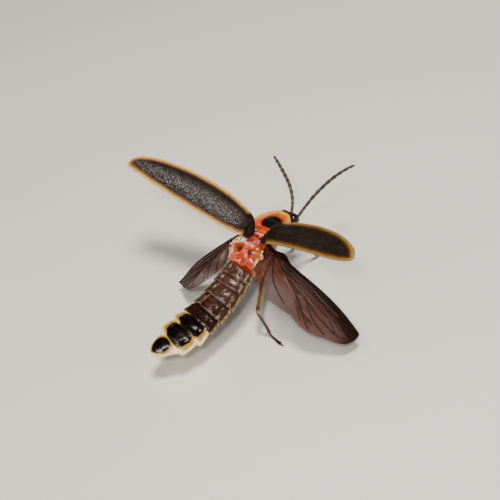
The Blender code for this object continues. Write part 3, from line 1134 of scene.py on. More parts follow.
@dataclass
class Thorax:
    """Wing-bearing rings of the thorax as one skin, with its plates and grooves."""

    orange: str = "#b2360c"
    coral: str = "#d64e2a"
    ridge: str = "#e05c28"
    cream: str = "#f2cda6"
    pink: str = "#e88d74"
    # White of the painted glints on the glossy back
    wax: str = "#fff4ea"
    maroon: str = "#5e150c"
    violet: str = "#2c141b"
    amber: str = "#ad5a16"
    rings: int = 190
    columns: int = 176

    # y, half width, width of the back, top, bottom, waist
    stations: tuple[tuple[float, ...], ...] = (
        (-2.3, 0.5, 0.2, 0.3, -0.4, 0.0), (-2.0, 0.92, 0.42, 0.45, -0.6, 0.0),
        (-1.7, 1.08, 0.48, 0.6, -0.7, 0.0), (-1.34, 1.12, 0.42, 0.75, -0.9, 0.0),
        (-1.16, 1.08, 0.4, 0.9, -1.0, 0.0),
        (-0.85, 1.05, 0.36, 1.0, -1.1, 0.0), (-0.55, 1.05, 0.34, 1.1, -1.15, 0.05),
        (-0.28, 1.08, 0.4, 1.06, -1.12, 0.1), (0.0, 1.25, 0.58, 1.16, -1.16, 0.2),
        (0.35, 1.42, 0.75, 1.24, -1.25, 0.2), (0.75, 1.42, 0.85, 1.18, -1.25, 0.15),
        (1.2, 1.38, 0.95, 1.0, -1.2, 0.1), (1.52, 1.28, 0.9, 0.84, -1.05, 0.1),
        (1.68, 1.05, 0.72, 0.6, -0.82, 0.0), (1.76, 0.7, 0.5, 0.35, -0.5, 0.0),
    )

    def _marks(self) -> list[Mark]:
        """Plates, ridges and dimples of the back, with painted glints and painted shade, mostly
        mirrored about its midline.
        """
        marks = []
        for side in (1.0, -1.0):
            def at(*places: Flat) -> tuple[Flat, ...]:
                """Places given for the left side, mirrored for the right."""
                return tuple((side * x, y) for x, y in places)
            marks += [
                Mark(at((1.0, 0.42)), 0.4, 0.26, self.amber, 0.85),
                Mark(at((0.85, 0.0)), 0.22, 0.06, "#a8440f", 0.7),
                Mark(at((0.55, 1.3)), 0.26, 0.16, "#b8380f", 0.9),
                Mark(at((1.15, 1.0)), 0.16, -0.05, "#7a2410", 0.7),
                # Dimples: a dark ring painted round each hollow as its shade, and dark violet at
                # the bottom, partly its own tone and partly painted shade
                Mark(at((0.5, 0.6)), 0.34, -0.05, "#862410", 0.8),
                Mark(at((0.5, 0.6)), 0.2, -0.02, self.violet, 0.95),
                Mark(at((0.0, 0.5), (0.2, 0.95), (0.5, 1.12), (1.0, 1.2), (1.15, 1.44)), 0.1,
                     0.16, self.ridge, 0.7),
                Mark(at((1.12, 0.35), (1.24, 0.7), (1.2, 1.25)), 0.07, 0.12, self.cream, 0.75),
                Mark(at((1.34, 0.45), (1.4, 0.8), (1.3, 1.3)), 0.06, 0.08, self.pink, 0.6),
                Mark(at((0.0, -0.42), (0.3, -0.5), (0.62, -0.42), (0.95, -0.1)), 0.08, 0.09,
                     self.maroon, 0.9),
                Mark(at((0.16, -1.2), (0.18, -0.9)), 0.14, 0.04, self.coral, 0.8),
                # Painted glints: small white flecks on the slopes of the lobes
                Mark(at((0.72, 0.06), (0.74, 0.16)), 0.05, 0.03, self.wax, 0.9),
                Mark(at((0.3, 0.95), (0.4, 1.04)), 0.045, 0.03, self.wax, 0.9),
                Mark(at((0.8, 1.13), (0.92, 1.17)), 0.045, 0.03, self.wax, 0.85),
                # Painted shade on the front of the sides, under the bases of the wing covers
                Mark(at((0.98, -1.4), (1.0, -0.7)), 0.28, 0.0, "#43100a", 0.95),
            ]
        marks += [
            # Pink patch on the middle lobe: its own pink, with a painted highlight in it
            Mark(((0.12, -0.02), (-0.25, 0.02)), 0.26, 0.16, self.pink, 0.75),
            # Painted glints on the right lobe only
            Mark(((0.25, 0.02), (0.1, 0.14)), 0.05, 0.03, self.wax, 0.8),
            Mark(((-0.72, 0.52), (-0.7, 0.58)), 0.045, 0.03, self.wax, 0.8),
            Mark(((-0.02, 1.52), (0.42, 1.5)), 0.06, 0.04, "#d9a67c", 0.6),
            Mark(((0.0, 0.3), (0.0, 0.6)), 0.1, -0.05, self.coral, 0.7),
            Mark(((0.0, 0.9), (0.0, 1.5)), 0.07, -0.05, self.coral, 0.6),
            Mark(((-0.35, -0.86), (0.4, -0.96)), 0.15, -0.08, self.maroon, 0.95),
            # Painted glint, pale pink, on the front of the back
            Mark(((-0.3, -1.22), (0.15, -1.16)), 0.06, 0.06, "#ffd2c2", 0.9),
            Mark(((0.67, -0.48), (0.6, -0.72)), 0.1, 0.06, self.cream, 0.9),
            # Pink stripe on the right: its own pink, with a painted glint in it
            Mark(((-0.45, -0.32), (-0.4, -0.62)), 0.09, 0.06, "#d9566c", 0.8),
        ]
        return marks

    def build(self, shop: Workshop) -> Object:
        """Make the skin.

        Args:
            shop: Place and finishes.

        Returns:
            The thorax piece.
        """
        table = np.array(self.stations)
        steps = np.linspace(table[0, 0], table[-1, 0], self.rings)
        kernel = np.hanning(15)
        fields = [np.convolve(np.pad(np.interp(steps, table[:, 0], column), 7, mode="edge"),
                              kernel / kernel.sum(), mode="valid") for column in table.T[1:]]
        ring = []
        for h, b, t, lo, w in zip(*fields):
            profile = [(0.0, t + 0.06), (b * 0.5, t + 0.04), (b, t - 0.05),
                       (h * 0.86, mix(w, t, 0.5)), (h, w), (h * 0.97, mix(w, lo, 0.4)),
                       (h * 0.8, mix(w, lo, 0.8)), (h * 0.45, lo), (0.0, lo - 0.05)]
            mirrored = [(-x, z) for x, z in reversed(profile[1:-1])]
            ring.append(through(profile + mirrored, self.columns, closed=True))
        flat = np.array(ring)
        local = np.stack([flat[..., 0], np.broadcast_to(steps[:, None], flat.shape[:2]),
                          flat[..., 1]], axis=-1)
        above = smooth(local[..., 2] - fields[-1][:, None], 0.0, 0.45)
        flank = 1.0 - above
        tint = layered(
            plain_tint(local.shape[:2], self.orange),
            ("#8a3c1c", flank * 0.85),
            ("#3b1c10", flank * smooth(local[..., 2], -0.5, -1.0)),
            (self.coral, above * smooth(local[..., 1], -0.3, -0.6) * 0.9))
        lift = np.zeros(local.shape[:2])
        for mark in self._marks():
            share = mark.share(local[..., :2]) * above
            tint = layered(tint, (mark.colour, share * mark.strength))
            lift = lift + mark.rise * share
        # Painted shade: maroon in the low places between the marks, and a darker band down the
        # rear slope
        tint = layered(
            tint,
            (self.maroon, smooth(lift, -0.01, -0.08) * above * 0.6),
            ("#7a2a10", smooth(local[..., 1], 1.46, 1.66) * above * 0.7))
        # The seam between the rings is a groove, painted maroon as its shade
        seam = bump(local[..., 1], -0.28, 0.09)
        lift = lift - 0.07 * seam
        tint = layered(tint, (self.maroon, seam * 0.5))
        for line in (0.35, 0.95):
            groove = bump(local[..., 1], line, 0.05) * flank
            lift = lift - 0.05 * groove
        lift = lift + 0.035 * cloudy(local, 0.35, 3.0) + 0.008 * cloudy(local, 0.12, 9.0)
        placed = THORAX.place(local)
        outward = unit(placed - THORAX.place(local * np.array([0.0, 1.0, 0.0])
                                             + np.array([0.0, 0.0, 0.1])))
        placed = placed + outward * lift[..., None]
        draft = Draft()
        draft.add_rings(placed, tint=tint, hair=flank * 0.8 + 0.05,
                        lie=unit(np.array([0.0, 1.0, -0.3])))
        finish = Cuticle("glossy_orange_thorax", roughness=0.1, specular=0.5, coat=0.5,
                         relief=0.15, relief_size=0.3, mottle=0.22, soft=0.1, lay=Lay.SILKY)
        return shop.make(draft, "thorax_skin", finish, "thorax", "mesothorax", "metathorax")


@dataclass
class Shield:
    """Pronotum: domed shield with a turned-up amber rim, and the block under it."""

    rear: Point = (0.0, -1.7, 0.58)
    slope: float = math.radians(17.5)
    length: float = 2.5
    half_width: float = 1.6
    dome: float = 0.5
    rim: float = 0.1
    thick: float = 0.34
    rows: int = 96
    columns: int = 120
    amber: str = "#c58130"
    coral: str = "#d5432a"
    black: str = "#0d0706"
    spot_middle: Flat = (-0.06, 0.83)
    spot_size: Flat = (0.66, 0.73)

    def point(self, across: Array, along: Array, lift: Array) -> Array:
        """Places from distances across, forward and off the shield's plane."""
        forward = np.array([0.0, -math.cos(self.slope), -math.sin(self.slope)])
        upward = np.array([0.0, -math.sin(self.slope), math.cos(self.slope)])
        flat = (np.array(self.rear) + np.asarray(along)[..., None] * forward
                + np.asarray(lift)[..., None] * upward)
        flat = flat + np.asarray(across)[..., None] * np.array([1.0, 0.0, 0.0])
        return THORAX.place(flat)

    def build(self, shop: Workshop) -> Object:
        """Make the shield.

        Args:
            shop: Place and finishes.

        Returns:
            The pronotum piece.
        """
        row = np.linspace(0.0, 1.0, self.rows)
        share = np.sin(np.pi / 2 * row)[:, None]
        along = self.length * share * 0.99
        half = self.half_width * np.sqrt(1.0 - share ** 2.4 * 0.985)
        half = half * (0.95 + 0.05 * np.sin(np.pi * np.minimum(share * 1.6, 1.0)))
        crown = self.dome * (0.7 + 0.3 * np.sin(np.pi * np.minimum(share * 2.0, 1.0)))
        place = np.sin(np.pi / 2 * np.linspace(-1.0, 1.0, self.columns))[None, :]
        dome = crown * (1.0 - place ** 2) * (1.0 - share ** 2)
        edge = np.maximum(np.abs(place), share) ** 8
        across = place * half
        along = np.broadcast_to(along, across.shape)
        margin = np.minimum(half * (1.0 - np.abs(place)), self.length - along)
        margin = np.minimum(margin, along + 0.12)
        x, y = across, along
        seed_points = np.stack([x, y, np.zeros_like(x)], axis=-1)
        waver = cloudy(seed_points, 0.35, 5.0) * 0.07
        gutter = bump(margin, 0.36, 0.14)
        groove = bump(x, 0.0, 0.035) * smooth(y, 0.1, 0.4) * smooth(y, 2.2, 1.5)
        top_lift = (dome + self.rim * edge - 0.05 * gutter - 0.01 * groove
                    + 0.02 * cloudy(seed_points, 0.5, 1.0))
        spot_x = (x - self.spot_middle[0]) / self.spot_size[0]
        spot_y = (y - self.spot_middle[1]) / self.spot_size[1]
        blot = np.abs(spot_x) ** 2.4 + np.abs(spot_y) ** 2.8 + waver * 2
        spot = smooth(blot, 1.2, 0.7)
        # The pale rim runs round the front and sides only, and coral reaches the rear edge
        front = np.minimum(half * (1.0 - np.abs(place)), self.length - along)
        disc = np.maximum(smooth(front + waver, 0.34, 0.6), smooth(y + waver, 0.3, 0.05)
                          * smooth(front, 0.14, 0.36))
        ring = bump(blot, 1.4, 0.6)
        tint = layered(
            plain_tint(x.shape, self.amber),
            # Painted highlight: a paler gold band just inside the rim
            ("#dfa552", bump(margin, 0.2, 0.12) * 0.6),
            (self.coral, disc * 0.95),
            ("#b4621a", disc * smooth(y, 1.0, 1.6) * 0.85),
            ("#7a2a0e", ring * smooth(y, 0.6, 1.3) * 0.75),
            ("#b8752c", bump(margin, 0.0, 0.05) * 0.7),
            ("#43100a", smooth(blot, 1.5, 1.0) * 0.8),
            (self.black, spot))
        inward = smooth(np.abs(x), 1.0, 0.55) * smooth(y, 0.1, 0.35) * smooth(y, 1.8, 1.45)
        under = layered(plain_tint(x.shape, "#c47a33"), ("#7a3a1e", inward))
        drop = dome * 0.75 - mix(self.thick, 0.1, np.clip(edge, 0, 1))
        low = mix(drop, -0.92, inward)
        narrow = mix(x, np.clip(x, -0.72, 0.72), inward)
        rings = np.concatenate([self.point(x, y, top_lift),
                                self.point(narrow, y, low)[:, ::-1]], axis=1)
        draft = Draft()
        draft.add_rings(rings, tint=np.concatenate([tint, under[:, ::-1]], axis=1),
                        hair=np.concatenate([0.6 * np.ones_like(x), inward[:, ::-1]], axis=1),
                        lie=unit(np.array([0.0, 1.0, -0.1])))
        finish = Cuticle("amber_shield", roughness=0.34, specular=0.15, relief=0.5,
                         relief_size=0.09, mottle=0.2, soft=0.2, lay=Lay.GRAINED)
        return shop.make(draft, "pronotum_shield", finish, "shield", "pronotum")


@dataclass
class Head:
    """Head capsule with its neck, mouthparts and the sockets of the feelers."""

    middle: Point = (0.0, -4.33, 5.22)
    brown: str = "#3a130c"
    rings: int = 60
    columns: int = 56

    def build(self, shop: Workshop) -> Object:
        """Make the head capsule and mouthparts.

        Args:
            shop: Place and finishes.

        Returns:
            The head piece.
        """
        centre = np.array(self.middle)
        # y, half width, height, drop of the ring's middle
        table = np.array((
            (1.75, 0.26, 0.2, -0.2), (1.05, 0.31, 0.25, -0.2), (0.6, 0.33, 0.28, -0.19),
            (0.4, 0.36, 0.35, -0.13), (0.1, 0.4, 0.44, -0.03), (-0.2, 0.38, 0.44, -0.05),
            (-0.42, 0.3, 0.36, -0.12), (-0.58, 0.22, 0.22, -0.2), (-0.66, 0.1, 0.1, -0.26)))
        steps = through(table, self.rings)
        angle = np.linspace(0.0, math.tau, self.columns, endpoint=False)
        rings = np.stack([steps[:, 1:2] * np.sin(angle) * 1.05,
            np.broadcast_to(steps[:, :1], (self.rings, self.columns)),
            steps[:, 2:3] * np.cos(angle) + steps[:, 3:4]], axis=-1)
        brow = bump(rings[..., 1], -0.42, 0.1) * bump(rings[..., 0], 0.0, 0.05)
        rings[..., 2] -= 0.05 * brow * smooth(rings[..., 2], 0.0, 0.2)
        for side in (1.0, -1.0):
            socket = (bump(rings[..., 0], side * 0.14, 0.09) * bump(rings[..., 1], -0.5, 0.1)
                      * smooth(rings[..., 2], -0.25, -0.1))
            rings[..., 1] -= 0.05 * socket
        tint = layered(
            plain_tint(rings.shape[:2], self.brown),
            ("#8a4a24", smooth(rings[..., 1], 0.5, 0.95)),
            ("#8a5a30", smooth(rings[..., 1], -0.5, -0.64)))
        draft = Draft()
        draft.add_rings(rings + centre, tint=tint, hair=0.8,
                        lie=unit(np.array([0.0, -1.0, -0.4])))
        self._mouthparts(draft, centre)
        finish = Cuticle("dark_head", roughness=0.3, coat=0.4, relief=0.35,
                         relief_size=0.05, mottle=0.25)
        return shop.make(draft, "head_capsule", finish, "dark_cuticle", "head")

    def _mouthparts(self, draft: Draft, centre: Array) -> None:
        """Add jaws, lip and palps to the head.

        Args:
            draft: The head's draft.
            centre: Middle of the head.
        """
        lie = np.array([0.0, -1.0, 0.0])
        for side in Side:
            jaw = through([(0.13, -0.5, -0.3), (0.17, -0.66, -0.36), (0.1, -0.76, -0.42),
                           (0.0, -0.78, -0.46)], 18) * side.mirror + centre
            draft.add_limb(jaw, np.linspace(0.06, 0.012, 18), 10,
                           tint=linear("#5a2a14"), hair=0.0, lie=lie)
            palp = through([(0.16, -0.36, -0.36), (0.24, -0.5, -0.52), (0.2, -0.6, -0.66),
                            (0.14, -0.66, -0.74)], 30) * side.mirror + centre
            share = np.linspace(0.0, 1.0, 30)
            radii = 0.045 + 0.014 * np.sin(share * math.tau * 1.5) ** 2
            radii[-4:] = (0.04, 0.03, 0.02, 0.008)
            draft.add_limb(palp, radii, 10, tint=linear("#4a2110"), hair=0.2, lie=lie)
            small = through([(0.07, -0.4, -0.4), (0.1, -0.5, -0.52), (0.06, -0.56, -0.62)],
                            16) * side.mirror + centre
            draft.add_limb(small, np.linspace(0.035, 0.012, 16), 8,
                           tint=linear("#5e3016"), hair=0.0, lie=lie)
        lip = through([(0.0, -0.56, -0.22), (0.0, -0.68, -0.3), (0.0, -0.72, -0.36)], 10)
        draft.add_limb(lip + centre, np.linspace(0.15, 0.06, 10), 14, 0.6,
                       tint=linear("#9a6434"), hair=0.2, lie=lie)


@dataclass
class Eye:
    """Compound eye: a bulging cap of six-sided lenses."""

    side: Side
    middle: Point = (0.46, -4.33, 5.22)
    radius: float = 0.445
    flat: float = 0.56
    relief: float = 0.005
    divisions: int = 4

    def _tree(self, material: Material) -> NodeTree:
        """Tree that turns a ball into raised six-sided lenses.

        Args:
            material: Finish of the lenses.

        Returns:
            The node tree.
        """
        tree, given = start_tree(f"eye_{self.side.word}",
                                 {"Lens rise mm": "Float", "Lens top": "Float"})
        cells = add_node(tree, "GeometryNodeDualMesh", {"Mesh": given["Geometry"]})
        rise = add_node(tree, "ShaderNodeMath", {0: given["Lens rise mm"], 1: MM},
                        operation="MULTIPLY")
        raised = add_node(tree, "GeometryNodeExtrudeMesh",
                          {"Mesh": cells, "Offset Scale": rise, "Individual": True}, mode="FACES")
        small = add_node(tree, "GeometryNodeScaleElements",
                         {"Geometry": raised, "Selection": raised.outputs["Top"],
                          "Scale": given["Lens top"]})
        real = add_node(tree, "GeometryNodeRealizeInstances", {"Geometry": small})
        return end_tree(tree, real, material)

    def build(self, shop: Workshop) -> Object:
        """Make the eye.

        Args:
            shop: Place and finishes.

        Returns:
            The eye piece.
        """
        work = bmesh.new()
        bmesh.ops.create_icosphere(work, subdivisions=self.divisions, radius=self.radius)
        work.verts.index_update()
        points = np.array([vertex.co for vertex in work.verts])
        faces = [tuple(corner.index for corner in shape.verts) for shape in work.faces]
        work.free()
        # The ball is cut flat where it meets the head
        cut = self.flat - self.middle[0] - 0.28
        points[self.side.value * points[:, 0] < cut, 0] = self.side.value * cut
        mesh = bpy.data.meshes.new("eye_ball")
        points = (points + (np.array(self.middle) * self.side.mirror + shop.shift)) * MM
        mesh.from_pydata(points.tolist(), [], faces)
        ball = link_object("eye_ball", mesh)
        piece = grow_from_tree(f"eye_lenses_{self.side.word}", [ball],
                               self._tree(shop.finish(EyeLens())),
                               {"Lens rise mm": self.relief, "Lens top": 0.72})
        bpy.data.objects.remove(ball, do_unlink=True)
        piece.data.shade_smooth()
        return shop.keep(piece, "eye", f"eye_{self.side.word}")


@dataclass
class Antenna:
    """Feeler of eleven joints, each pale at its foot."""

    side: Side
    curve: tuple[Point, ...]
    dark: str
    pale: str
    joints: int = 11
    radius: float = 0.15
    steps: int = 9
    sides: int = 14

    def build(self, shop: Workshop) -> Object:
        """Make the feeler.

        Args:
            shop: Place and finishes.

        Returns:
            The antenna piece.
        """
        line = cubic(self.curve, np.linspace(-0.05, 1.0, 400))
        travelled = walked(line)
        # The first joint is long and the second short
        weights = np.array([1.25, 0.55] + [1.0] * (self.joints - 2))
        ends = np.concatenate([[0.0], np.cumsum(weights / weights.sum())]) * travelled[-1]
        draft = Draft()
        for joint in range(self.joints):
            share = np.linspace(0.0, 1.0, self.steps)
            where = mix(ends[joint] + 0.012, ends[joint + 1] + 0.012, share)
            path = between(where, travelled, line)
            taper = np.interp(joint, (0.0, 1.0, 4.0, 7.0, 10.0), (0.88, 0.92, 1.08, 1.06, 0.84))
            swell = np.interp(share, (0.0, 0.08, 0.2, 0.75, 0.93, 1.0),
                              (0.66, 0.72, 0.82, 0.98, 1.0, 0.72))
            if joint == self.joints - 1:
                swell = np.interp(share, (0.0, 0.1, 0.5, 0.85, 1.0), (0.45, 0.7, 0.95, 0.6, 0.15))
            ring = smooth(share, 0.2, 0.08)[:, None] * (0.7 if joint else 0.3)
            tint = layered(plain_tint((self.steps, self.sides), self.dark), (self.pale, ring))
            draft.add_limb(path, self.radius * taper * swell, self.sides, 0.15,
                           tint=tint, hair=1.0, lie=unit(path[-1] - path[0]))
        finish = Cuticle(f"downy_feeler_{self.side.word}", roughness=0.5, coat=0.05,
                         relief=0.6, relief_size=0.035, mottle=0.3, lay=Lay.GRAINED)
        name = f"antenna_{self.side.word}"
        return shop.make(draft, f"{name}_joints", finish, "antenna", name)


@dataclass
class Blade:
    """Middle surface of a wing between its front and rear edge curves."""

    side: Side
    root: Point
    tip: Point
    roll: float
    front: tuple[Flat, ...]
    rear: tuple[Flat, ...]
    camber: float
    bow: float
    # Share of the width between the edge curves that is kept, along the span
    kept: tuple[Flat, ...] = ((0.0, 1.0), (1.0, 1.0))
    # How far the front edge bulges near the root, in millimetres
    hood: float = 0.0

    def __post_init__(self) -> None:
        """Work out the wing's axes."""
        self.start = np.array(self.root) * self.side.mirror
        self.along = unit(np.array(self.tip) * self.side.mirror - self.start)
        back = np.array([0.0, 1.0, 0.0])
        back = unit(back - self.along * (back @ self.along))
        self.across = rotate(back, self.along, self.roll * self.side.value)
        self.up = np.cross(self.along, self.across) * self.side.value

    def flat(self, u: Array, v: Array) -> Array:
        """Places along and across the wing in its own plane."""
        kept = np.interp(u, *np.array(self.kept).T)
        front = cubic(self.front, u)
        front[..., 1] -= self.hood * bump(u, 0.085, 0.06)
        return mix(front, cubic(self.rear, u), (kept * v)[..., None])

    def place(self, u: Array, v: Array, extra: Array | float = 0.0) -> Array:
        """Points of the surface.

        Args:
            u: Shares from root to tip.
            v: Shares from front edge to rear edge.
            extra: Lift over the plain surface, in millimetres.

        Returns:
            Points in the source's axes.
        """
        flat = self.flat(u, v)
        lift = (self.camber * 4.0 * v * (1.0 - v) * (1.0 - 0.5 * u)
                + self.bow * np.sin(math.pi * u) + extra)
        return (self.start + self.along * flat[..., :1] + self.across * flat[..., 1:]
                + self.up * np.asarray(lift)[..., None])

    def edge_distance(self, u: Array, v: Array) -> Array:
        """Distance to the outline, its root left out, in millimetres."""
        share = np.linspace(0.0, 1.0, 160)
        outline = np.concatenate([self.flat(share, np.zeros_like(share)),
                                  self.flat(share, np.ones_like(share))[::-1]])
        return line_distance(self.flat(u, v), outline)


@dataclass
class WingCover:
    """Elytron: long leathery plate with a raised border and faint ribs."""

    blade: Blade
    finish: WingCoverShell
    rows: int = 200
    columns: int = 84
    shell: float = 0.15
    ribs: tuple[float, ...] = (0.3, 0.55, 0.78)

    def build(self, shop: Workshop) -> Object:
        """Make the wing cover.

        Args:
            shop: Place and finishes.

        Returns:
            The elytron piece.
        """
        step = np.linspace(0.0, 1.0, self.rows)
        u = mix(step, np.sin(step * math.pi / 2), 0.6)[:, None]
        spread = np.linspace(0.0, 1.0, self.columns)
        v = mix(spread, (1.0 - np.cos(math.pi * spread)) / 2, 0.6)[None, :]
        u, v = np.broadcast_arrays(u, v)
        edge = self.blade.edge_distance(u, v)
        lift = 0.07 * bump(edge, 0.0, 0.09) - 0.035 * bump(edge, 0.3, 0.12)
        for rib in self.ribs:
            lift = lift + 0.012 * bump(v, rib, 0.022) * (1.0 - u) * smooth(u, 0.02, 0.12)
        flat = np.concatenate([self.blade.flat(u, v), np.zeros((*u.shape, 1))], axis=-1)
        lift = lift + 0.03 * cloudy(flat, 1.3, 2.0) + 0.008 * cloudy(flat, 0.22, 7.0)
        lift = lift - 0.22 * smooth(u, 0.05, 0.0) ** 2
        # The crown dies out where the rows grow short at the tip
        lift = lift - self.blade.camber * 2.0 * v * (1.0 - v) * smooth(u, 0.93, 1.0)
        middle = self.blade.place(u, v, lift)
        thick = mix(0.07, self.shell, smooth(edge, 0.0, 0.25))
        # The pale border fades where the front edge bends in to the shoulder
        edge = edge + 0.7 * smooth(u, 0.13, 0.03) * smooth(v, 0.75, 0.35)
        draft = Draft()
        # Silvery down with painted glints, densest in a band along the middle of the cover, where
        # the light strikes
        grain = (smooth(edge, 0.25, 0.6) * mix(smooth(v, 0.18, 0.55), 1.0, smooth(u, 0.7, 0.95))
                 * smooth(u, 0.06, 0.2))
        draft.add_plate(middle, self.blade.up, thick, edge=edge, grain=grain,
                        hair=smooth(edge, 0.02, 0.2),
                        lie=unit(self.blade.along + self.blade.across * 0.1))
        self._hinge(draft, middle)
        side = self.blade.side.word
        return shop.make(draft, f"elytron_{side}_cover", self.finish, "wing_cover",
                         f"elytron_{side}")

    def _hinge(self, draft: Draft, middle: Array) -> None:
        """Add the narrowing neck that joins the cover to the thorax.

        Args:
            draft: The cover's draft.
            middle: Grid of its middle surface.
        """
        side = self.blade.side.value
        v = np.linspace(0.0, 1.0, self.columns)
        foot = np.stack([np.full_like(v, side * 0.45), mix(-1.25, -0.42, v),
                         np.full_like(v, 0.9)], axis=1)
        foot, base = THORAX.place(foot), middle[1]
        share = np.linspace(0.0, 1.0, 20)[:, None, None]
        neck = mix(foot[None], base[None], share)
        sag = np.sin(math.pi * share[..., 0]) * (0.12 - 0.2 * bump(v, 0.5, 0.3))
        neck = neck - self.blade.up * sag[..., None]
        draft.add_plate(neck, self.blade.up, 0.12, edge=0.7 - 0.55 * smooth(v, 0.8, 1.0),
                        hair=0.0, grain=0.0, lie=self.blade.along)


@dataclass
class Vein:
    """A vein by its places along and across the wing, and its thickness."""

    places: tuple[Flat, ...]
    start: float
    end: float


@dataclass
class FlyingWing:
    """Hindwing: thin pleated film on raised dark veins, with a pale root."""

    blade: Blade
    veins: tuple[Vein, ...]
    pale_folds: tuple[tuple[Flat, ...], ...]
    rows: int = 170
    columns: int = 130
    film: float = 0.035
    veil: float = 0.52
    # Pale ropes at the root: share of the neck, first and last v, radius and lift
    ropes: tuple[tuple[float, ...], ...] = ((0.08, 0.25, 0.98, 0.11, 0.06),
                                            (0.24, 0.4, 0.8, 0.07, 0.06))
    slender: float = 0.75
    vein_steps: int = 90
    neck_rows: int = 44
    dense: tuple[Flat, ...] = ((0.0, 0.2), (0.15, 0.16), (0.42, 0.13), (0.6, 0.2),
                               (0.7, 0.32), (0.8, 0.55), (0.9, 0.9), (1.0, 1.05))
    pleats: float = 9.0
    pleat_rise: float = 0.03
    dark: str = "#200a06"
    smoke: str = "#341309"
    clear: str = "#4e2519"
    # Colour of the painted shadow that the wing cover casts on the neck
    maroon: str = "#380e07"

    def _relief(self, u: Array, v: Array) -> Array:
        """Pleats, and creases towards the tip, in millimetres."""
        fan = np.cos(math.tau * self.pleats * np.asarray(v) ** 0.85)
        rise = self.pleat_rise * fan * smooth(u, 0.02, 0.2) * mix(1.0, 0.45, v)
        flat = np.concatenate([self.blade.flat(u, v), np.zeros((*np.shape(u), 1))], axis=-1)
        crumple = cloudy(flat, 0.45, 4.0) * 0.1 * smooth(u, 0.78, 0.98)
        return rise + crumple + 0.03 * cloudy(flat, 1.6, 8.0)

    def build(self, shop: Workshop) -> list[Object]:
        """Make the film and its veins.

        Args:
            shop: Place and finishes.

        Returns:
            The film piece and the vein piece.
        """
        u = np.linspace(0.0, 0.995, self.rows)[:, None]
        v = np.linspace(0.0, 1.0, self.columns)[None, :]
        u, v = np.broadcast_arrays(u, v)
        wing = self.blade.place(u, v, self._relief(u, v))
        tint, cover = self._tint(u, v)
        neck, neck_tint, neck_cover = self._neck(wing, tint[0], cover[0])
        draft = Draft()
        grid = np.concatenate([neck, wing])
        draft.add_plate(grid, self.blade.up, self.film, tint=np.concatenate([neck_tint, tint]),
                        cover=np.concatenate([neck_cover, cover]))
        word = self.blade.side.word
        film = shop.make(draft, f"hindwing_{word}_film", WingFilm(), "wing_membrane",
                         f"hindwing_{word}")
        lines = []
        for vein in self.veins:
            places = through(vein.places, self.vein_steps)
            points = self.blade.place(places[:, 0], places[:, 1],
                                      self._relief(places[:, 0], places[:, 1]) + 0.01)
            radii = np.linspace(vein.start, vein.end, self.vein_steps) * self.slender
            lines.append((points, radii))
        finish = Cuticle("dark_vein", roughness=0.4, specular=0.25, relief=0.2, mottle=0.2,
                         lay=Lay.SILKY)
        tubes = TubeAlong(f"hindwing_{word}_veins").lay(lines, shop.finish(finish), shop.shift)
        mark_points(tubes.data, "tint", plain_tint((len(tubes.data.vertices),), "#2b0f09"))
        shop.keep(tubes, "wing_membrane")
        return [film, tubes, self._root(shop, neck)]

    def _tint(self, u: Array, v: Array) -> tuple[Array, Array]:
        """Paint the film.

        Args:
            u: Shares from root to tip.
            v: Shares from front to rear.

        Returns:
            Colours, and how much the film hides at each place.
        """
        flat = self.blade.flat(u, v)
        border = np.interp(u[:, 0], *np.array(self.dense).T)[:, None]
        front = smooth(v, border + 0.03, border - 0.05)
        fan = np.cos(math.tau * self.pleats * v ** 0.85)
        # The film is painted darker in the pleats' valleys, as shade in the creases, and made
        # denser there
        creased = smooth(fan, 0.1, -0.9) * smooth(v, 0.75, 0.2) * smooth(u, 0.95, 0.6)
        tint = layered(
            plain_tint(u.shape, self.smoke),
            (self.clear, smooth(v, 0.16, 0.4) * smooth(u, 1.0, 0.7)),
            (self.dark, front * 0.7),
            (self.dark, smooth(u, 0.72, 0.98) * 0.85),
            (self.dark, creased * 0.6))
        cover = mix(0.84, self.veil, smooth(v, 0.22, 0.75))
        cover = mix(cover, self.veil - 0.24, smooth(v, 0.42, 0.7) * smooth(u, 0.5, 0.2))
        cover = np.maximum(cover, 0.85 * creased)
        cover = np.maximum(cover, 0.9 * front)
        cover = mix(cover, 0.92, smooth(u, 0.72, 0.95))
        for fold in self.pale_folds:
            line = self.blade.flat(*through(fold, 60).T)
            glow = np.exp(-(line_distance(flat, line) / 0.035) ** 2)
            tint = layered(tint, ("#a87a70", glow * 0.5))
        for vein in self.veins:
            line = self.blade.flat(*through(vein.places, 60).T)
            shade = np.exp(-(line_distance(flat, line) / 0.08) ** 2)
            tint = layered(tint, (self.dark, shade * 0.85))
            cover = np.maximum(cover, 0.9 * shade)
        return tint, cover

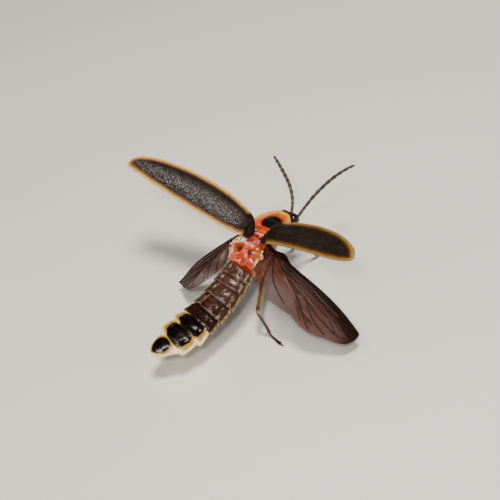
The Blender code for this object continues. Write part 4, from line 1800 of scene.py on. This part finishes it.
    def _neck(self, wing: Array, tint: Array, cover: Array) -> tuple[Array, Array, Array]:
        """Carry the film on from the wing's first row to the side of the thorax.

        Args:
            wing: Grid of the wing's middle surface.
            tint: Colours of its first row.
            cover: How much its first row hides.

        Returns:
            Grid of points, its colours and how much it hides.
        """
        side = self.blade.side.value
        v = np.linspace(0.0, 1.0, self.columns)
        foot = THORAX.place(np.stack([np.full_like(v, side * 1.12), mix(-0.75, 1.5, v ** 0.8),
                                      mix(0.95, 0.68, v)], axis=1))
        span = wing[0] - foot
        reach = np.linalg.norm(span, axis=1, keepdims=True)
        leave = span * 0.4 + (0.0, 0.0, 0.5) * reach
        arrive = unit(wing[2] - wing[0]) * reach
        t = np.linspace(0.0, 1.0, self.neck_rows, endpoint=False)[:, None, None]
        neck = ((2 * t ** 3 - 3 * t ** 2 + 1) * foot + (t ** 3 - 2 * t ** 2 + t) * leave
                + (3 * t ** 2 - 2 * t ** 3) * wing[0] + (t ** 3 - t ** 2) * arrive)
        share = t[..., 0] * np.ones_like(v)
        folds = np.sin(v * 34.0 + 3.0 * share) * 0.05 + 0.06 * cloudy(neck, 0.3, 3.0)
        neck = neck + self.blade.up * (folds * np.sin(math.pi * share))[..., None]
        colour = np.broadcast_to(tint, (*share.shape, 3))
        colour = layered(
            colour,
            # Painted shadow of the wing cover on the neck's front, and painted shade in the
            # hollows of its folds
            (self.maroon, smooth(v, 0.75, 0.3) * smooth(share, 1.0, 0.6)),
            ("#2c0f09", smooth(folds, 0.0, -0.06) * 0.6 * (1.0 - share)),
            ("#c2906a", smooth(share, 0.35, 0.05) * smooth(v, 0.3, 0.6) * 0.8))
        hides = mix(np.broadcast_to(cover, share.shape), mix(0.93, 0.7, smooth(v, 0.3, 0.9)),
                    smooth(share, 1.0, 0.5))
        return neck, colour, hides

    def _root(self, shop: Workshop, neck: Array) -> Object:
        """Make the pale lumpy plates that hinge the wing on the thorax.

        Args:
            shop: Place and finishes.
            neck: Grid of the film between thorax and wing.

        Returns:
            The root piece.
        """
        draft = Draft()
        steps, sides = 70, 12
        step = np.linspace(0.0, 1.0, steps)
        for reach, first, last, thick, lift in self.ropes:
            columns = np.linspace(first, last, 8) * (self.columns - 1)
            path = through(neck[int(reach * self.neck_rows)][columns.astype(int)], steps)
            path = path + np.array([0.0, 0.0, lift])
            lumps = 1.0 + 0.5 * cloudy(path, 0.3, 4.0)
            radii = thick * lumps * np.sin(math.pi * np.clip(step, 0.02, 0.98)) ** 0.35
            tint = layered(
                plain_tint((steps, sides), "#dfb690"),
                ("#8e3c20", smooth(lumps, 1.05, 0.75)[:, None] * 0.85))
            draft.add_limb(path, radii, sides, 0.2, tint=tint)
        finish = Cuticle("pale_wing_root", roughness=0.15, specular=0.3, relief=0.9,
                         relief_size=0.2, mottle=0.3, lay=Lay.SILKY)
        return shop.make(draft, f"hindwing_{self.blade.side.word}_root", finish, "thorax")


@dataclass
class Abdomen:
    """Eight overlapping segments, the light organ showing cream at the rear."""

    line: tuple[Point, ...] = ((0.04, 1.74, 4.92), (-0.08, 4.62, 3.68), (0.4, 7.84, 3.4),
                               (1.68, 10.69, 3.12))
    turn: float = math.radians(-20.0)
    depth: float = 1.2
    start: float = -0.25
    front_half: float = 1.1
    # Where each segment ends along the back, and its half width there
    segments: tuple[Flat, ...] = ((0.85, 1.24), (1.75, 1.32), (2.97, 1.36), (4.16, 1.38),
                                  (5.19, 1.46), (6.31, 1.5), (7.65, 1.3), (9.3, 0.5))
    profile: tuple[Flat, ...] = (
        (0.0, 0.0), (0.35, -0.02), (0.68, -0.08), (0.9, -0.2), (1.0, -0.36),
        (0.93, -0.55), (0.75, -0.8), (0.4, -0.97), (0.0, -1.0))
    # Numbers of the first segment with the light organ and of the last segment
    lantern: int = 5
    tail: int = 7
    around: int = 152
    rings_each: int = 36
    domes: tuple[float, ...] = (0.015, 0.015, 0.02, 0.015, 0.02, 0.02, 0.02, 0.06)
    greyish: str = "#432b24"
    brown: str = "#29130e"
    black: str = "#0a0504"
    pale: str = "#978560"
    edging: str = "#857968"
    cream: str = "#ffebb4"
    amber: str = "#986a12"

    def _spine(self, first: int, last: int) -> tuple[Array, ...]:
        """Place the rings of some segments along the back.

        Args:
            first: Number of the first segment, from 0.
            last: Number after the last.

        Returns:
            Each ring's segment, place in it and distance along the back, its middle,
            and the directions ahead, to the side and up.
        """
        place = np.linspace(-0.08, 1.0, 500)
        fine = cubic(self.line, place)
        reach = walked(fine)
        reach = reach - np.interp(0.0, place, reach)
        index = np.repeat(np.arange(first, last), self.rings_each)
        t = np.tile(0.5 - 0.5 * np.cos(np.linspace(0.0, math.pi, self.rings_each)), last - first)
        ends = np.array([self.start] + [end for end, _ in self.segments])
        distance = mix(ends[index], ends[index + 1], t)
        back = between(distance, reach, fine)
        ahead = unit(between(distance, reach, np.gradient(fine, axis=0)))
        side = unit(np.cross(ahead, (0.0, 0.0, 1.0)))
        up = np.cross(side, ahead)
        side, up = (side * math.cos(self.turn) + up * -math.sin(self.turn),
                    up * math.cos(self.turn) + side * math.sin(self.turn))
        return index, t, distance, back, ahead, side, up

    def _part(self, first: int, last: int) -> Draft:
        """Build the skin of some segments.

        Args:
            first: Number of the first segment, from 0.
            last: Number after the last.

        Returns:
            Draft with that skin, closed at both ends.
        """
        index, t, distance, back, ahead, side, up = self._spine(first, last)
        # Width and depth of each ring; each segment flares towards the next one's front
        halves = np.array([self.front_half] + [half for _, half in self.segments])
        half = mix(halves[index], halves[index + 1], t)
        depth = self.depth * np.interp(distance, (0.0, 1.7, 4.5, 6.0, 7.6, 9.0),
                                       (0.82, 1.0, 1.0, 0.84, 0.72, 0.6))
        last_one = index == self.tail
        rounding = np.interp(t, (0.0, 0.12, 0.3, 0.55, 0.78, 0.92, 1.0),
                             (1.0, 0.84, 0.72, 0.62, 0.48, 0.33, 0.1))
        half = np.where(last_one, halves[-2] * rounding * 0.96, half)
        depth = np.where(last_one, depth * mix(0.5, 1.0, rounding), depth)
        lip = np.where(last_one, 0.96 + 0.04 * smooth(t, 0.0, 0.2),
                       0.935 + 0.05 * smooth(t, 0.0, 0.3) + 0.04 * smooth(t, 0.5, 0.95))
        lobe = np.where((index >= self.lantern) & ~last_one, 0.1 * smooth(t, 0.0, 0.85)
                        - 0.08 * smooth(t, 0.88, 1.0) - 0.05, 0.0)
        outline = [*self.profile, *[(-x, z) for x, z in reversed(self.profile[1:-1])]]
        ring = through(outline, self.around, closed=True)
        seg, t2, sideways, low = np.broadcast_arrays(index[:, None], t[:, None],
                                                     ring[:, 0], ring[:, 1])
        middle_z = -0.42
        bulge = 1.0 + lobe[:, None] * smooth(np.abs(sideways), 0.5, 1.0)
        wide = sideways * lip[:, None] * bulge * half[:, None]
        tall = (middle_z + (low - middle_z) * mix(1.0, lip[:, None], 0.9)) * depth[:, None]
        # Back, soft flank and belly, as shares
        above = smooth(low, -0.3, -0.16)
        flank = smooth(np.abs(sideways), 0.8, 0.95) * smooth(low, -0.62, -0.5)
        below = smooth(low, -0.5, -0.64)
        where = back[:, None] + side[:, None] * wide[..., None] + up[:, None] * tall[..., None]
        clouds = cloudy(where, 0.5, 2.0)
        fine_clouds = cloudy(where, 0.16, 6.0)
        # Relief in millimetres: furrows, domes, overlapping rear borders, beads and folds
        lift = np.zeros_like(wide)
        furrow = bump(np.abs(sideways + 0.07 * clouds), 0.6, 0.03) * above
        lift -= 0.025 * bump(np.abs(sideways), 0.6, 0.09) * above * (seg < self.tail)
        dome = np.array(self.domes)[index][:, None]
        lift += dome * above * np.sin(math.pi * t2) * (1.0 - 0.6 * sideways ** 2)
        shoulder = bump(np.abs(sideways), 0.78, 0.13) * np.sin(math.pi * t2)
        lift += 0.07 * shoulder * (seg < self.tail)
        scallop = 0.1 * bump(np.abs(sideways), 0.6, 0.12) + 0.05 * clouds
        lapped = t2 + scallop
        lift += 0.035 * smooth(lapped, 0.5, 0.92) * (1.0 - smooth(lapped, 0.95, 1.0)) * above
        beads = flank * (seg < self.lantern) * np.sin(math.tau * t2 * 2.5) ** 2
        lift += 0.06 * beads - 0.03 * flank * (seg < self.lantern)
        dimple = bump(np.abs(sideways), 0.5, 0.1) * bump(t2, 0.4, 0.16) * above
        folds = cloudy(where * (1.6, 1.0, 1.0), 0.24, 11.0) * above * smooth(seg, 5.5, 4.5)
        lift += 0.012 * clouds * above + 0.005 * fine_clouds - 0.03 * dimple + 0.012 * folds
        tint = self._tint(seg, t2, sideways, above, below, furrow, lapped, clouds)
        outward = unit(side[:, None] * sideways[..., None]
                       + up[:, None] * (low - middle_z)[..., None] * 1.6)
        where = where + outward * lift[..., None]
        draft = Draft()
        hair = (0.35 + 0.65 * flank) * np.where(seg >= self.lantern, 0.5, 1.0)
        draft.add_rings(where, tint=tint, hair=hair, lie=ahead[:, None])
        return draft

    def _tint(self, seg: Array, t: Array, across: Array, above: Array, below: Array,
              furrow: Array, lapped: Array, clouds: Array) -> Array:
        """Paint plates, borders, flanks and the light organ.

        Args:
            seg: Segment number at each point.
            t: Place within the segment.
            across: Share of the half width, signed.
            above: 1 on the back.
            below: 1 on the belly.
            furrow: 1 in the long furrows of the back.
            lapped: Place within the segment, its rear border bent as three arcs.
            clouds: Soft noise.

        Returns:
            Colours.
        """
        rear = seg >= self.lantern
        border = bump(lapped, 0.97, 0.024)
        early = np.where(seg < self.lantern - 1, 1.0, 0.0)
        worn = 0.3 + 0.6 * smooth(clouds, -0.4, 0.4)
        midline = bump(across + 0.02 + 0.02 * clouds, 0.0, 0.02) * above
        olive = smooth(np.abs(across), 0.84, 0.93) * np.where(rear, 0.0, 1.0) * smooth(
            below, 1.0, 0.3)
        tip = seg >= self.tail
        oval = np.sqrt(((across - 0.06) / 0.72) ** 2 + ((t - 0.5) / 0.46) ** 2)
        reach = np.where(across > 0.0, 0.73, 0.7) - 0.12 * smooth(t, 0.7, 1.0)
        waist = 0.585 - 0.11 * bump(across, 0.52, 0.1)
        plate = (np.abs(across + 0.04 * clouds) / reach) ** 3 + (np.abs(t - 0.46) / waist) ** 4
        outside = np.where(tip, smooth(oval, 0.95, 1.08), smooth(plate, 0.85, 1.25))
        outside = np.where(rear, outside, 0.0)
        outside = np.maximum(outside, np.where(rear, 1.0 - above, 0.0))
        rim = np.where(tip, bump(oval, 1.06, 0.1), bump(plate, 1.3, 0.6) * smooth(plate, 0.7, 1.1))
        rim = np.where(rear, rim * above, 0.0)
        glow = np.where(tip, smooth(oval, 1.5, 1.05), smooth(plate, 2.6, 1.2))
        belly = below * np.where(rear, 0.0, 1.0)
        organ = below * np.where(rear & ~tip, 1.0, 0.0)
        tint = layered(
            plain_tint(seg.shape, self.brown),
            (self.greyish, smooth(seg + t, 4.2, 1.8)),
            ("#523a31", smooth(clouds, 0.0, 0.5) * mix(0.1, 0.4, early)),
            (self.black, np.where(rear, 1.0, 0.0)),
            (self.black, np.where(seg == self.lantern - 1, 0.35, 0.0)),
            # Painted shadow along the front of each brown plate, under the border of the plate
            # before
            (self.black, np.where(rear, 0.0, 0.6) * smooth(t, 0.16, 0.0) * above),
            (self.edging, border * above * mix(0.12, 0.9, early) * worn),
            ("#8f8066", early * furrow * 0.65 * smooth(clouds, -0.2, 0.5)),
            ("#84755c", early * midline * smooth(clouds, -0.2, 0.6) * 0.5),
            (self.pale, olive * (0.75 + 0.25 * np.sin(t * 16.0))),
            (self.cream, outside),
            ("#bf9636", glow * outside * above * 0.6),
            (self.amber, rim * 0.9),
            ("#d9ab55", np.where(rear & ~tip, smooth(t, 0.4, 0.0), 0.0) * outside * above * 0.3),
            ("#2b140c", belly * 0.9),
            (self.pale, belly * bump(t, 1.0, 0.06) * 0.6),
            ("#f4e6a6", organ * (1.0 - 0.5 * bump(t, 0.0, 0.06))))
        return tint

    def build(self, shop: Workshop) -> list[Object]:
        """Make the three lengths of the abdomen.

        Args:
            shop: Place and finishes.

        Returns:
            The three pieces.
        """
        shiny = Cuticle("glossy_brown_plate", roughness=0.17, specular=0.07, relief=0.4,
                        relief_size=0.34, mottle=0.3, lay=Lay.SILKY)
        organ = Cuticle("cream_light_organ", roughness=0.17, specular=0.08, relief=0.4,
                        relief_size=0.34, mottle=0.12, soft=0.1, lay=Lay.SILKY)
        parts = ((0, self.lantern, "abdomen_base", shiny, "dark_cuticle"),
                 (self.lantern, self.tail, "abdomen_lantern", organ, "light_organ"),
                 (self.tail, self.tail + 1, "abdomen_tip", organ, "dark_cuticle"))
        return [shop.make(self._part(first, last), f"{node}_skin", finish, slot, node)
                for first, last, node, finish, slot in parts]


@dataclass
class Leg:
    """Leg from hip to claws: coxa, trochanter, femur, tibia and five tarsal joints."""

    name: str
    hip: Point
    knee: Point
    ankle: Flat
    aim: Flat
    tarsus: float = 1.45
    ankle_height: float = 0.24
    sides: int = 18
    steps: int = 26
    olive: str = "#a38a55"
    dark: str = "#35160c"

    def _segment(self, draft: Draft, path: Array, widths: Sequence[Flat], colours: Array,
                 flatten: float = 0.1, lowest: float | None = None, stripes: float = 0.0) -> None:
        """Add one joint of the leg.

        Args:
            draft: The leg's draft.
            path: Points along it.
            widths: Places along it, from 0 to 1, with the radius there.
            colours: Colour of each ring.
            flatten: Share by which it is lower than wide.
            lowest: Height of the floor where it lies on it.
            stripes: Strength of the two dark stripes along it.
        """
        share = np.linspace(0.0, 1.0, len(path))
        table = np.array(widths)
        radii = np.interp(share, table[:, 0], table[:, 1])
        turn = np.arange(self.sides) * math.tau / self.sides
        grid = layered(colours[:, None],
                       (self.dark, stripes * smooth(np.cos(2.0 * turn), 0.1, 0.8)))
        draft.add_limb(path, radii, self.sides, flatten, lowest, tint=grid,
                       hair=1.0 if lowest is None else 0.0, lie=unit(path[-1] - path[0]))

    def build(self, shop: Workshop) -> Object:
        """Make the leg.

        Args:
            shop: Place and finishes.

        Returns:
            The leg piece.
        """
        side = 1.0 if self.hip[0] > 0 else -1.0
        hip = THORAX.place(np.array(self.hip))
        thigh = hip + np.array([side * 0.2, 0.1, -0.42])
        knee = np.array(self.knee)
        ankle = np.array([*self.ankle, self.ankle_height])
        draft = Draft()
        share = np.linspace(0.0, 1.0, self.steps)
        run = share[:, None]
        arch = np.sin(math.pi * run)
        brown, tan = plain_tint((self.steps,), self.dark), plain_tint((self.steps,), self.olive)
        # The coxa runs up into the thorax, so that no gap shows at the hip
        self._segment(draft, mix(mix(hip, thigh, -1.4), thigh, run),
                      ((0.0, 0.3), (0.35, 0.42), (0.65, 0.36), (0.9, 0.24), (1.0, 0.12)),
                      layered(brown, ("#8a4a22", 0.5 * np.ones(self.steps))))
        self._segment(draft, mix(thigh, mix(thigh, knee, 0.12), run),
                      ((0.0, 0.1), (0.4, 0.17), (0.85, 0.15), (1.0, 0.08)), brown)
        bow = np.array([side * 0.06, 0.0, 0.07])
        self._segment(draft, mix(mix(thigh, knee, 0.1), knee, run) + bow * arch,
                      ((0.0, 0.1), (0.1, 0.15), (0.45, 0.21), (0.8, 0.17), (0.95, 0.15),
                       (1.0, 0.08)),
                      layered(tan, (self.dark, bump(share, 0.86, 0.08))), 0.25, stripes=0.75)
        self._segment(draft, mix(knee, ankle, run) + bow * 0.8 * arch,
                      ((0.0, 0.09), (0.06, 0.14), (0.2, 0.12), (0.6, 0.135), (0.92, 0.16),
                       (1.0, 0.1)), layered(brown, ("#7a4a24", smooth(share, 0.2, 0.0))), 0.2)
        self._foot(draft, ankle)
        finish = Cuticle("leg_cuticle", roughness=0.36, coat=0.3, relief=0.4,
                         relief_size=0.05, mottle=0.28, lay=Lay.GRAINED)
        return shop.make(draft, f"{self.name}_joints", finish, "leg", self.name)

    def _foot(self, draft: Draft, ankle: Array) -> None:
        """Add the tarsal joints, spurs and claws.

        Args:
            draft: The leg's draft.
            ankle: Lower end of the tibia.
        """
        forward = unit(np.array([self.aim[0] - ankle[0], self.aim[1] - ankle[1], 0.0]))
        across = np.array([-forward[1], forward[0], 0.0])
        below = ankle * np.array([1.0, 1.0, 0.0])
        share = np.linspace(0.0, 1.0, 12)
        tint = plain_tint((12,), self.dark)
        ends, lobed = 0.0, 3
        # Each tarsal joint: its length, as a share of the tarsus, and its radius
        for joint, (length, wide) in enumerate(((0.34, 0.12), (0.2, 0.13), (0.16, 0.14),
                                                (0.13, 0.17), (0.17, 0.08))):
            begins, ends = ends, ends + length
            out = mix(begins - 0.01, ends + 0.01, share) * self.tarsus
            path = below + forward * out[:, None]
            path[:, 2] += mix(0.1, 0.085, joint / 4)
            if joint == 0:
                path[:, 2] += 0.1 * smooth(share, 0.6, 0.0)
            if joint == lobed:
                for lobe in (1.0, -1.0):
                    spread = across * (lobe * 0.1 * share)[:, None]
                    self._segment(draft, path + spread,
                                  ((0.0, 0.05), (0.6, 0.11), (0.9, 0.11), (1.0, 0.04)),
                                  tint, 0.35, 0.0)
                continue
            self._segment(draft, path, ((0.0, wide * 0.5), (0.2, wide * 0.75),
                                        (0.9, wide), (1.0, wide * 0.5)), tint, 0.15, 0.0)
        end = below + forward * self.tarsus
        for lobe in (1.0, -1.0):
            claw = through([end + (0, 0, 0.08), end + forward * 0.1 + across * lobe * 0.06
                            + (0, 0, 0.1), end + forward * 0.16 + across * lobe * 0.1
                            + (0, 0, 0.03)], 12)
            draft.add_limb(claw, np.linspace(0.03, 0.006, 12), 8, 0.0, 0.0,
                           tint=linear("#5a2a14"), hair=0.0, lie=forward)
            point = ankle + forward * 0.16 + across * lobe * 0.09 + (0, 0, -0.05)
            spur = mix(ankle, point, np.linspace(0.0, 1.0, 6)[:, None])
            draft.add_limb(spur, np.linspace(0.03, 0.005, 6), 8, 0.0, 0.0,
                           tint=linear("#6a3a1c"), hair=0.0, lie=forward)


@dataclass(frozen=True)
class Studio:
    """Camera at the photograph's angle, pale floor and soft lights."""

    eye: Point = (-48.41, 46.65, 64.35)
    right: Point = (-0.7738, -0.6143, -0.1542)
    upward: Point = (0.325, -0.5941, 0.7358)
    focal_px: float = 1197.0
    picture_px: float = 500.0
    sensor: float = 36.0
    floor_colour: str = "#eeece8"

    def build(self, shift: Array) -> None:
        """Make the camera, the floor and the lights.

        Args:
            shift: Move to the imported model's axes, in millimetres.
        """
        right, upward = np.array(self.right), np.array(self.upward)
        back = np.cross(right, upward)
        data = bpy.data.cameras.new("camera")
        data.sensor_width = self.sensor
        data.lens = self.sensor * self.focal_px / self.picture_px
        data.clip_start, data.clip_end = 0.001, 10.0
        camera = link_object("camera", data)
        place = (np.array(self.eye) + shift) * MM
        turn = Matrix(np.stack([right, upward, back], axis=1).tolist())
        camera.matrix_world = Matrix.Translation(place) @ turn.to_4x4()
        bpy.context.scene.camera = camera
        self._floor()
        self._light("top_softbox", (-0.033, 0.011, 0.152), 0.03, 0.26, "#fff6ea")
        self._light("near_camera", (-0.07, 0.085, 0.13), 0.018, 0.12, "#fffaf2")
        self._light("front_fill", (-0.15, -0.05, 0.09), 0.12, 0.05, "#f2f4ff")
        self._light("rear_fill", (0.1, 0.14, 0.08), 0.1, 0.05, "#fff3e6")
        world = bpy.data.worlds.new("studio")
        world.use_nodes = True
        background = world.node_tree.nodes["Background"]
        background.inputs["Color"].default_value = (*linear("#e9ebef"), 1.0)
        background.inputs["Strength"].default_value = 0.12
        bpy.context.scene.world = world

    def _floor(self) -> None:
        """Lay the pale floor: matt painted board with the faintest tooth."""
        mesh = bpy.data.meshes.new("floor")
        reach = 1.5
        mesh.from_pydata([(-reach, -reach, 0.0), (reach, -reach, 0.0), (reach, reach, 0.0),
                          (-reach, reach, 0.0)], [], [(0, 1, 2, 3)])
        material, tree, shader, place = start_material("matt_board")
        tooth = add_node(tree, "ShaderNodeTexNoise",
                         {"Vector": place, "Scale": 1.0 / (1.2 * MM), "Detail": 3.0})
        relief = add_node(tree, "ShaderNodeBump",
                          {"Height": tooth, "Strength": 0.05, "Distance": 0.05 * MM})
        fill(tree, shader, {"Base Color": (*linear(self.floor_colour), 1.0),
                            "Roughness": 0.8, "Normal": relief})
        mesh.materials.append(material)
        link_object("floor", mesh)

    def _light(self, name: str, place: Point, size: float, power: float, colour: str) -> None:
        """Hang one square light that faces the model.

        Args:
            name: Its name.
            place: Where it hangs, in metres.
            size: Side of the square, in metres.
            power: Its power in watts.
            colour: Hex colour.
        """
        data = bpy.data.lights.new(name, "AREA")
        data.shape = "SQUARE"
        data.size = size
        data.energy = power
        data.color = tuple(linear(colour))
        lamp = link_object(name, data)
        lamp.location = place
        aim = Vector((0.0, 0.0, 0.005)) - Vector(place)
        lamp.rotation_euler = aim.to_track_quat("-Z", "Y").to_euler()


ELYTRON = {"root": (0.75, -0.61, 6.18), "tip": (10.36, 0.87, 10.39),
           "roll": math.radians(-18.0), "camber": 0.36, "bow": 0.2}
HINDWING_ROOT = (1.71, 0.43, 5.51)


def wing_covers() -> list[WingCover]:
    """The two wing covers."""
    left = Blade(Side.LEFT, front=((0.12, -0.99), (1.72, -2.68), (10.88, -2.05), (10.83, 0.04)),
                 rear=((0.38, 0.45), (0.9, 1.0), (11.02, 0.6), (10.75, 0.28)), **ELYTRON)
    right = Blade(Side.RIGHT, front=((0.0, -1.45), (3.65, -1.89), (9.13, -1.56), (10.72, 0.03)),
                  rear=((0.12, 0.37), (5.47, 0.31), (12.23, 1.83), (10.83, 0.22)), **ELYTRON)
    # One cover finish in two copies: the left painted paler with strong glint specks, as lit, the
    # right darker with weak ones, as in shade
    return [WingCover(left, WingCoverShell("left_wing_cover", "#c8a558", "#866040",
                                           dark="#170c08", brown="#2c1a13", border_width=0.5,
                                           fade="#553626", inner="#2c1b13")),
            WingCover(right, WingCoverShell("right_wing_cover", "#927442", "#6c4f27",
                                            border_width=0.45, silver=0.12))]


def flying_wings() -> list[FlyingWing]:
    """The two flying wings with their veins."""
    right = Blade(Side.RIGHT, HINDWING_ROOT, (9.26, 0.14, 1.3), math.radians(-20.0),
                  ((0.12, -0.87), (2.9, -0.28), (5.37, -0.8), (8.71, 0.11)),
                  ((0.12, 1.5), (-0.2, 3.4), (9.3, 3.3), (8.71, 0.23)), 0.25, 0.9,
                  ((0.0, 1.0), (0.22, 1.01), (0.3, 0.96), (0.4, 0.92), (0.46, 0.89),
                   (0.53, 0.98), (0.6, 1.0), (0.69, 0.955), (0.78, 0.98), (0.85, 1.0),
                   (0.91, 0.95), (1.0, 1.0)), hood=0.28)
    left = Blade(Side.LEFT, HINDWING_ROOT, (6.23, 2.61, 0.9), math.radians(-28.0),
                 ((0.1, -0.67), (2.73, -0.48), (5.03, -0.8), (6.92, -0.34)),
                 ((1.25, 1.65), (2.3, 2.5), (5.04, 2.48), (6.92, -0.22)), 0.25, 0.3)
    right_veins = (
        Vein(((0.0, 0.015), (0.3, 0.012), (0.7, 0.012), (0.97, 0.02)), 0.075, 0.03),
        Vein(((0.0, 0.06), (0.3, 0.05), (0.6, 0.06), (0.86, 0.1)), 0.07, 0.03),
        Vein(((0.03, 0.1), (0.25, 0.085), (0.5, 0.11), (0.8, 0.2)), 0.05, 0.022),
        Vein(((0.03, 0.13), (0.13, 0.13), (0.23, 0.12), (0.42, 0.16), (0.6, 0.25),
              (0.7, 0.38), (0.8, 0.62)), 0.06, 0.028),
        Vein(((0.04, 0.17), (0.15, 0.2), (0.28, 0.24), (0.41, 0.33), (0.54, 0.38),
              (0.68, 0.49), (0.78, 0.83)), 0.045, 0.025),
        Vein(((0.05, 0.15), (0.1, 0.18), (0.24, 0.29), (0.33, 0.39), (0.44, 0.57),
              (0.44, 0.67), (0.52, 0.88)), 0.05, 0.02),
        Vein(((0.15, 0.18), (0.27, 0.26), (0.34, 0.36), (0.46, 0.42), (0.49, 0.47),
              (0.59, 0.7), (0.68, 0.9)), 0.042, 0.02),
        Vein(((0.44, 0.6), (0.51, 0.74), (0.585, 0.93)), 0.028, 0.016),
        Vein(((0.465, 0.41), (0.6, 0.56), (0.75, 0.78)), 0.028, 0.016),
        Vein(((0.38, 0.47), (0.43, 0.4)), 0.03, 0.03),
        Vein(((0.43, 0.56), (0.48, 0.46)), 0.032, 0.032),
        Vein(((0.03, 0.3), (0.2, 0.56), (0.39, 0.84)), 0.03, 0.016),
        Vein(((0.03, 0.4), (0.13, 0.7), (0.21, 0.93)), 0.03, 0.014),
    )
    left_veins = (
        Vein(((0.0, 0.015), (0.3, 0.012), (0.7, 0.012), (0.97, 0.02)), 0.075, 0.03),
        Vein(((0.0, 0.08), (0.3, 0.07), (0.6, 0.09), (0.85, 0.16)), 0.065, 0.03),
        Vein(((0.0, 0.2), (0.25, 0.2), (0.55, 0.28), (0.8, 0.5)), 0.055, 0.024),
        Vein(((0.02, 0.25), (0.2, 0.36), (0.42, 0.55), (0.62, 0.9)), 0.045, 0.02),
        Vein(((0.07, 0.27), (0.26, 0.57), (0.37, 0.95)), 0.045, 0.018),
        Vein(((0.12, 0.36), (0.23, 0.6), (0.29, 0.95)), 0.035, 0.016),
        Vein(((0.03, 0.3), (0.07, 0.5), (0.1, 0.93)), 0.035, 0.016),
    )
    right_folds = (
        ((0.1, 0.14), (0.28, 0.26), (0.41, 0.35), (0.54, 0.4), (0.68, 0.51), (0.78, 0.85)),
        ((0.05, 0.09), (0.25, 0.1), (0.5, 0.14), (0.75, 0.26)),
        ((0.2, 0.26), (0.33, 0.44), (0.47, 0.52)))
    left_folds = (((0.05, 0.14), (0.3, 0.15), (0.6, 0.2)), ((0.1, 0.3), (0.35, 0.5), (0.5, 0.8)))
    left_ropes = ((0.08, 0.1, 0.98, 0.12, 0.1), (0.27, 0.08, 0.78, 0.09, 0.08),
                  (0.44, 0.1, 0.65, 0.07, 0.06), (0.6, 0.2, 0.5, 0.05, 0.05))
    return [FlyingWing(left, left_veins, left_folds, veil=0.64, pleats=5.0, clear="#4e1d10",
                       dense=((0.0, 0.3), (0.2, 0.5), (0.5, 0.68), (0.8, 0.95), (1.0, 1.05)),
                       ropes=left_ropes),
            FlyingWing(right, right_veins, right_folds, veil=0.5, clear="#5c3125")]


def legs() -> list[Leg]:
    """The six legs, as the source poses them."""
    return [
        Leg("leg_front_left", (0.42, -2.35, -1.06), (1.05, -4.55, 2.95), (1.45, -5.65),
            (1.7, -7.5)),
        Leg("leg_front_right", (-0.42, -2.35, -1.06), (-0.85, -4.6, 2.95), (-0.75, -5.95),
            (-1.3, -7.7)),
        Leg("leg_mid_left", (0.5, -0.75, -1.58), (2.95, -1.0, 3.15), (3.5, -1.3), (5.0, -1.4)),
        Leg("leg_mid_right", (-0.5, -0.75, -1.58), (-2.75, -0.6, 3.25), (-3.4, -0.3),
            (-5.0, 0.4)),
        Leg("leg_hind_left", (0.55, 1.0, -1.66), (1.9, 3.4, 2.3), (2.6, 4.9), (3.8, 6.2)),
        Leg("leg_hind_right", (-0.55, 1.0, -1.66), (-2.23, 3.15, 2.5), (-2.8, 2.82),
            (-4.08, 3.15)),
    ]


def antennae() -> list[Antenna]:
    """The two feelers; the left one is painted paler, for the light it catches."""
    return [
        Antenna(Side.LEFT, ((0.4, -5.2, 5.05), (0.9, -6.6, 6.0), (2.6, -7.4, 6.4),
                            (4.4, -8.5, 6.7)), "#2c1f1a", "#86725a"),
        Antenna(Side.RIGHT, ((-0.4, -5.2, 5.05), (-0.8, -7.0, 6.2), (-1.6, -8.6, 7.1),
                             (-2.8, -9.6, 7.6)), "#1e0c0a", "#74503a"),
    ]


def main() -> None:
    """Build every piece in order, then the studio."""
    logging.basicConfig(level=logging.INFO, format="%(name)s: %(message)s")
    for item in list(bpy.data.objects):
        bpy.data.objects.remove(item, do_unlink=True)
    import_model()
    low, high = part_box("eye_left")
    eye = Eye(Side.LEFT)
    shift = np.array([low.x / MM - eye.flat, (low.y + high.y) / 2 / MM - eye.middle[1],
                      (low.z + high.z) / 2 / MM - eye.middle[2]])
    shop = Workshop(shift)
    thorax = Thorax().build(shop)
    shield = Shield().build(shop)
    head = Head().build(shop)
    for side in Side:
        Eye(side).build(shop)
    abdomen = Abdomen().build(shop)
    covers = [cover.build(shop) for cover in wing_covers()]
    for wing in flying_wings():
        wing.build(shop)
    limbs = [leg.build(shop) for leg in legs()]
    feelers = [antenna.build(shop) for antenna in antennae()]
    gold = shop.finish(Bristle("golden_down"))
    silver = shop.finish(Bristle("silvery_down", "#241710", "#8c7a60"))
    coats = ((HairCoat("thorax_down", 60.0, 0.13, 0.006, 1.2, 3), [thorax], gold, "thorax"),
        (HairCoat("shield_down", 90.0, 0.09, 0.005, 1.6, 4), [shield, head], gold, "shield"),
        (HairCoat("abdomen_down", 60.0, 0.11, 0.005, 2.0, 5), abdomen, gold, "dark_cuticle"),
        (HairCoat("cover_down", 130.0, 0.06, 0.006, 1.2, 6), covers, silver, "wing_cover"),
        (HairCoat("leg_down", 110.0, 0.09, 0.005, 1.6, 7), limbs, gold, "leg"),
        (HairCoat("feeler_down", 260.0, 0.07, 0.004, 1.2, 8), feelers, gold, "antenna"),
    )
    for coat, skins, material, slot in coats:
        shop.keep(coat.grow(skins, material), slot)
    Studio().build(shift)


if __name__ == "__main__":
    main()
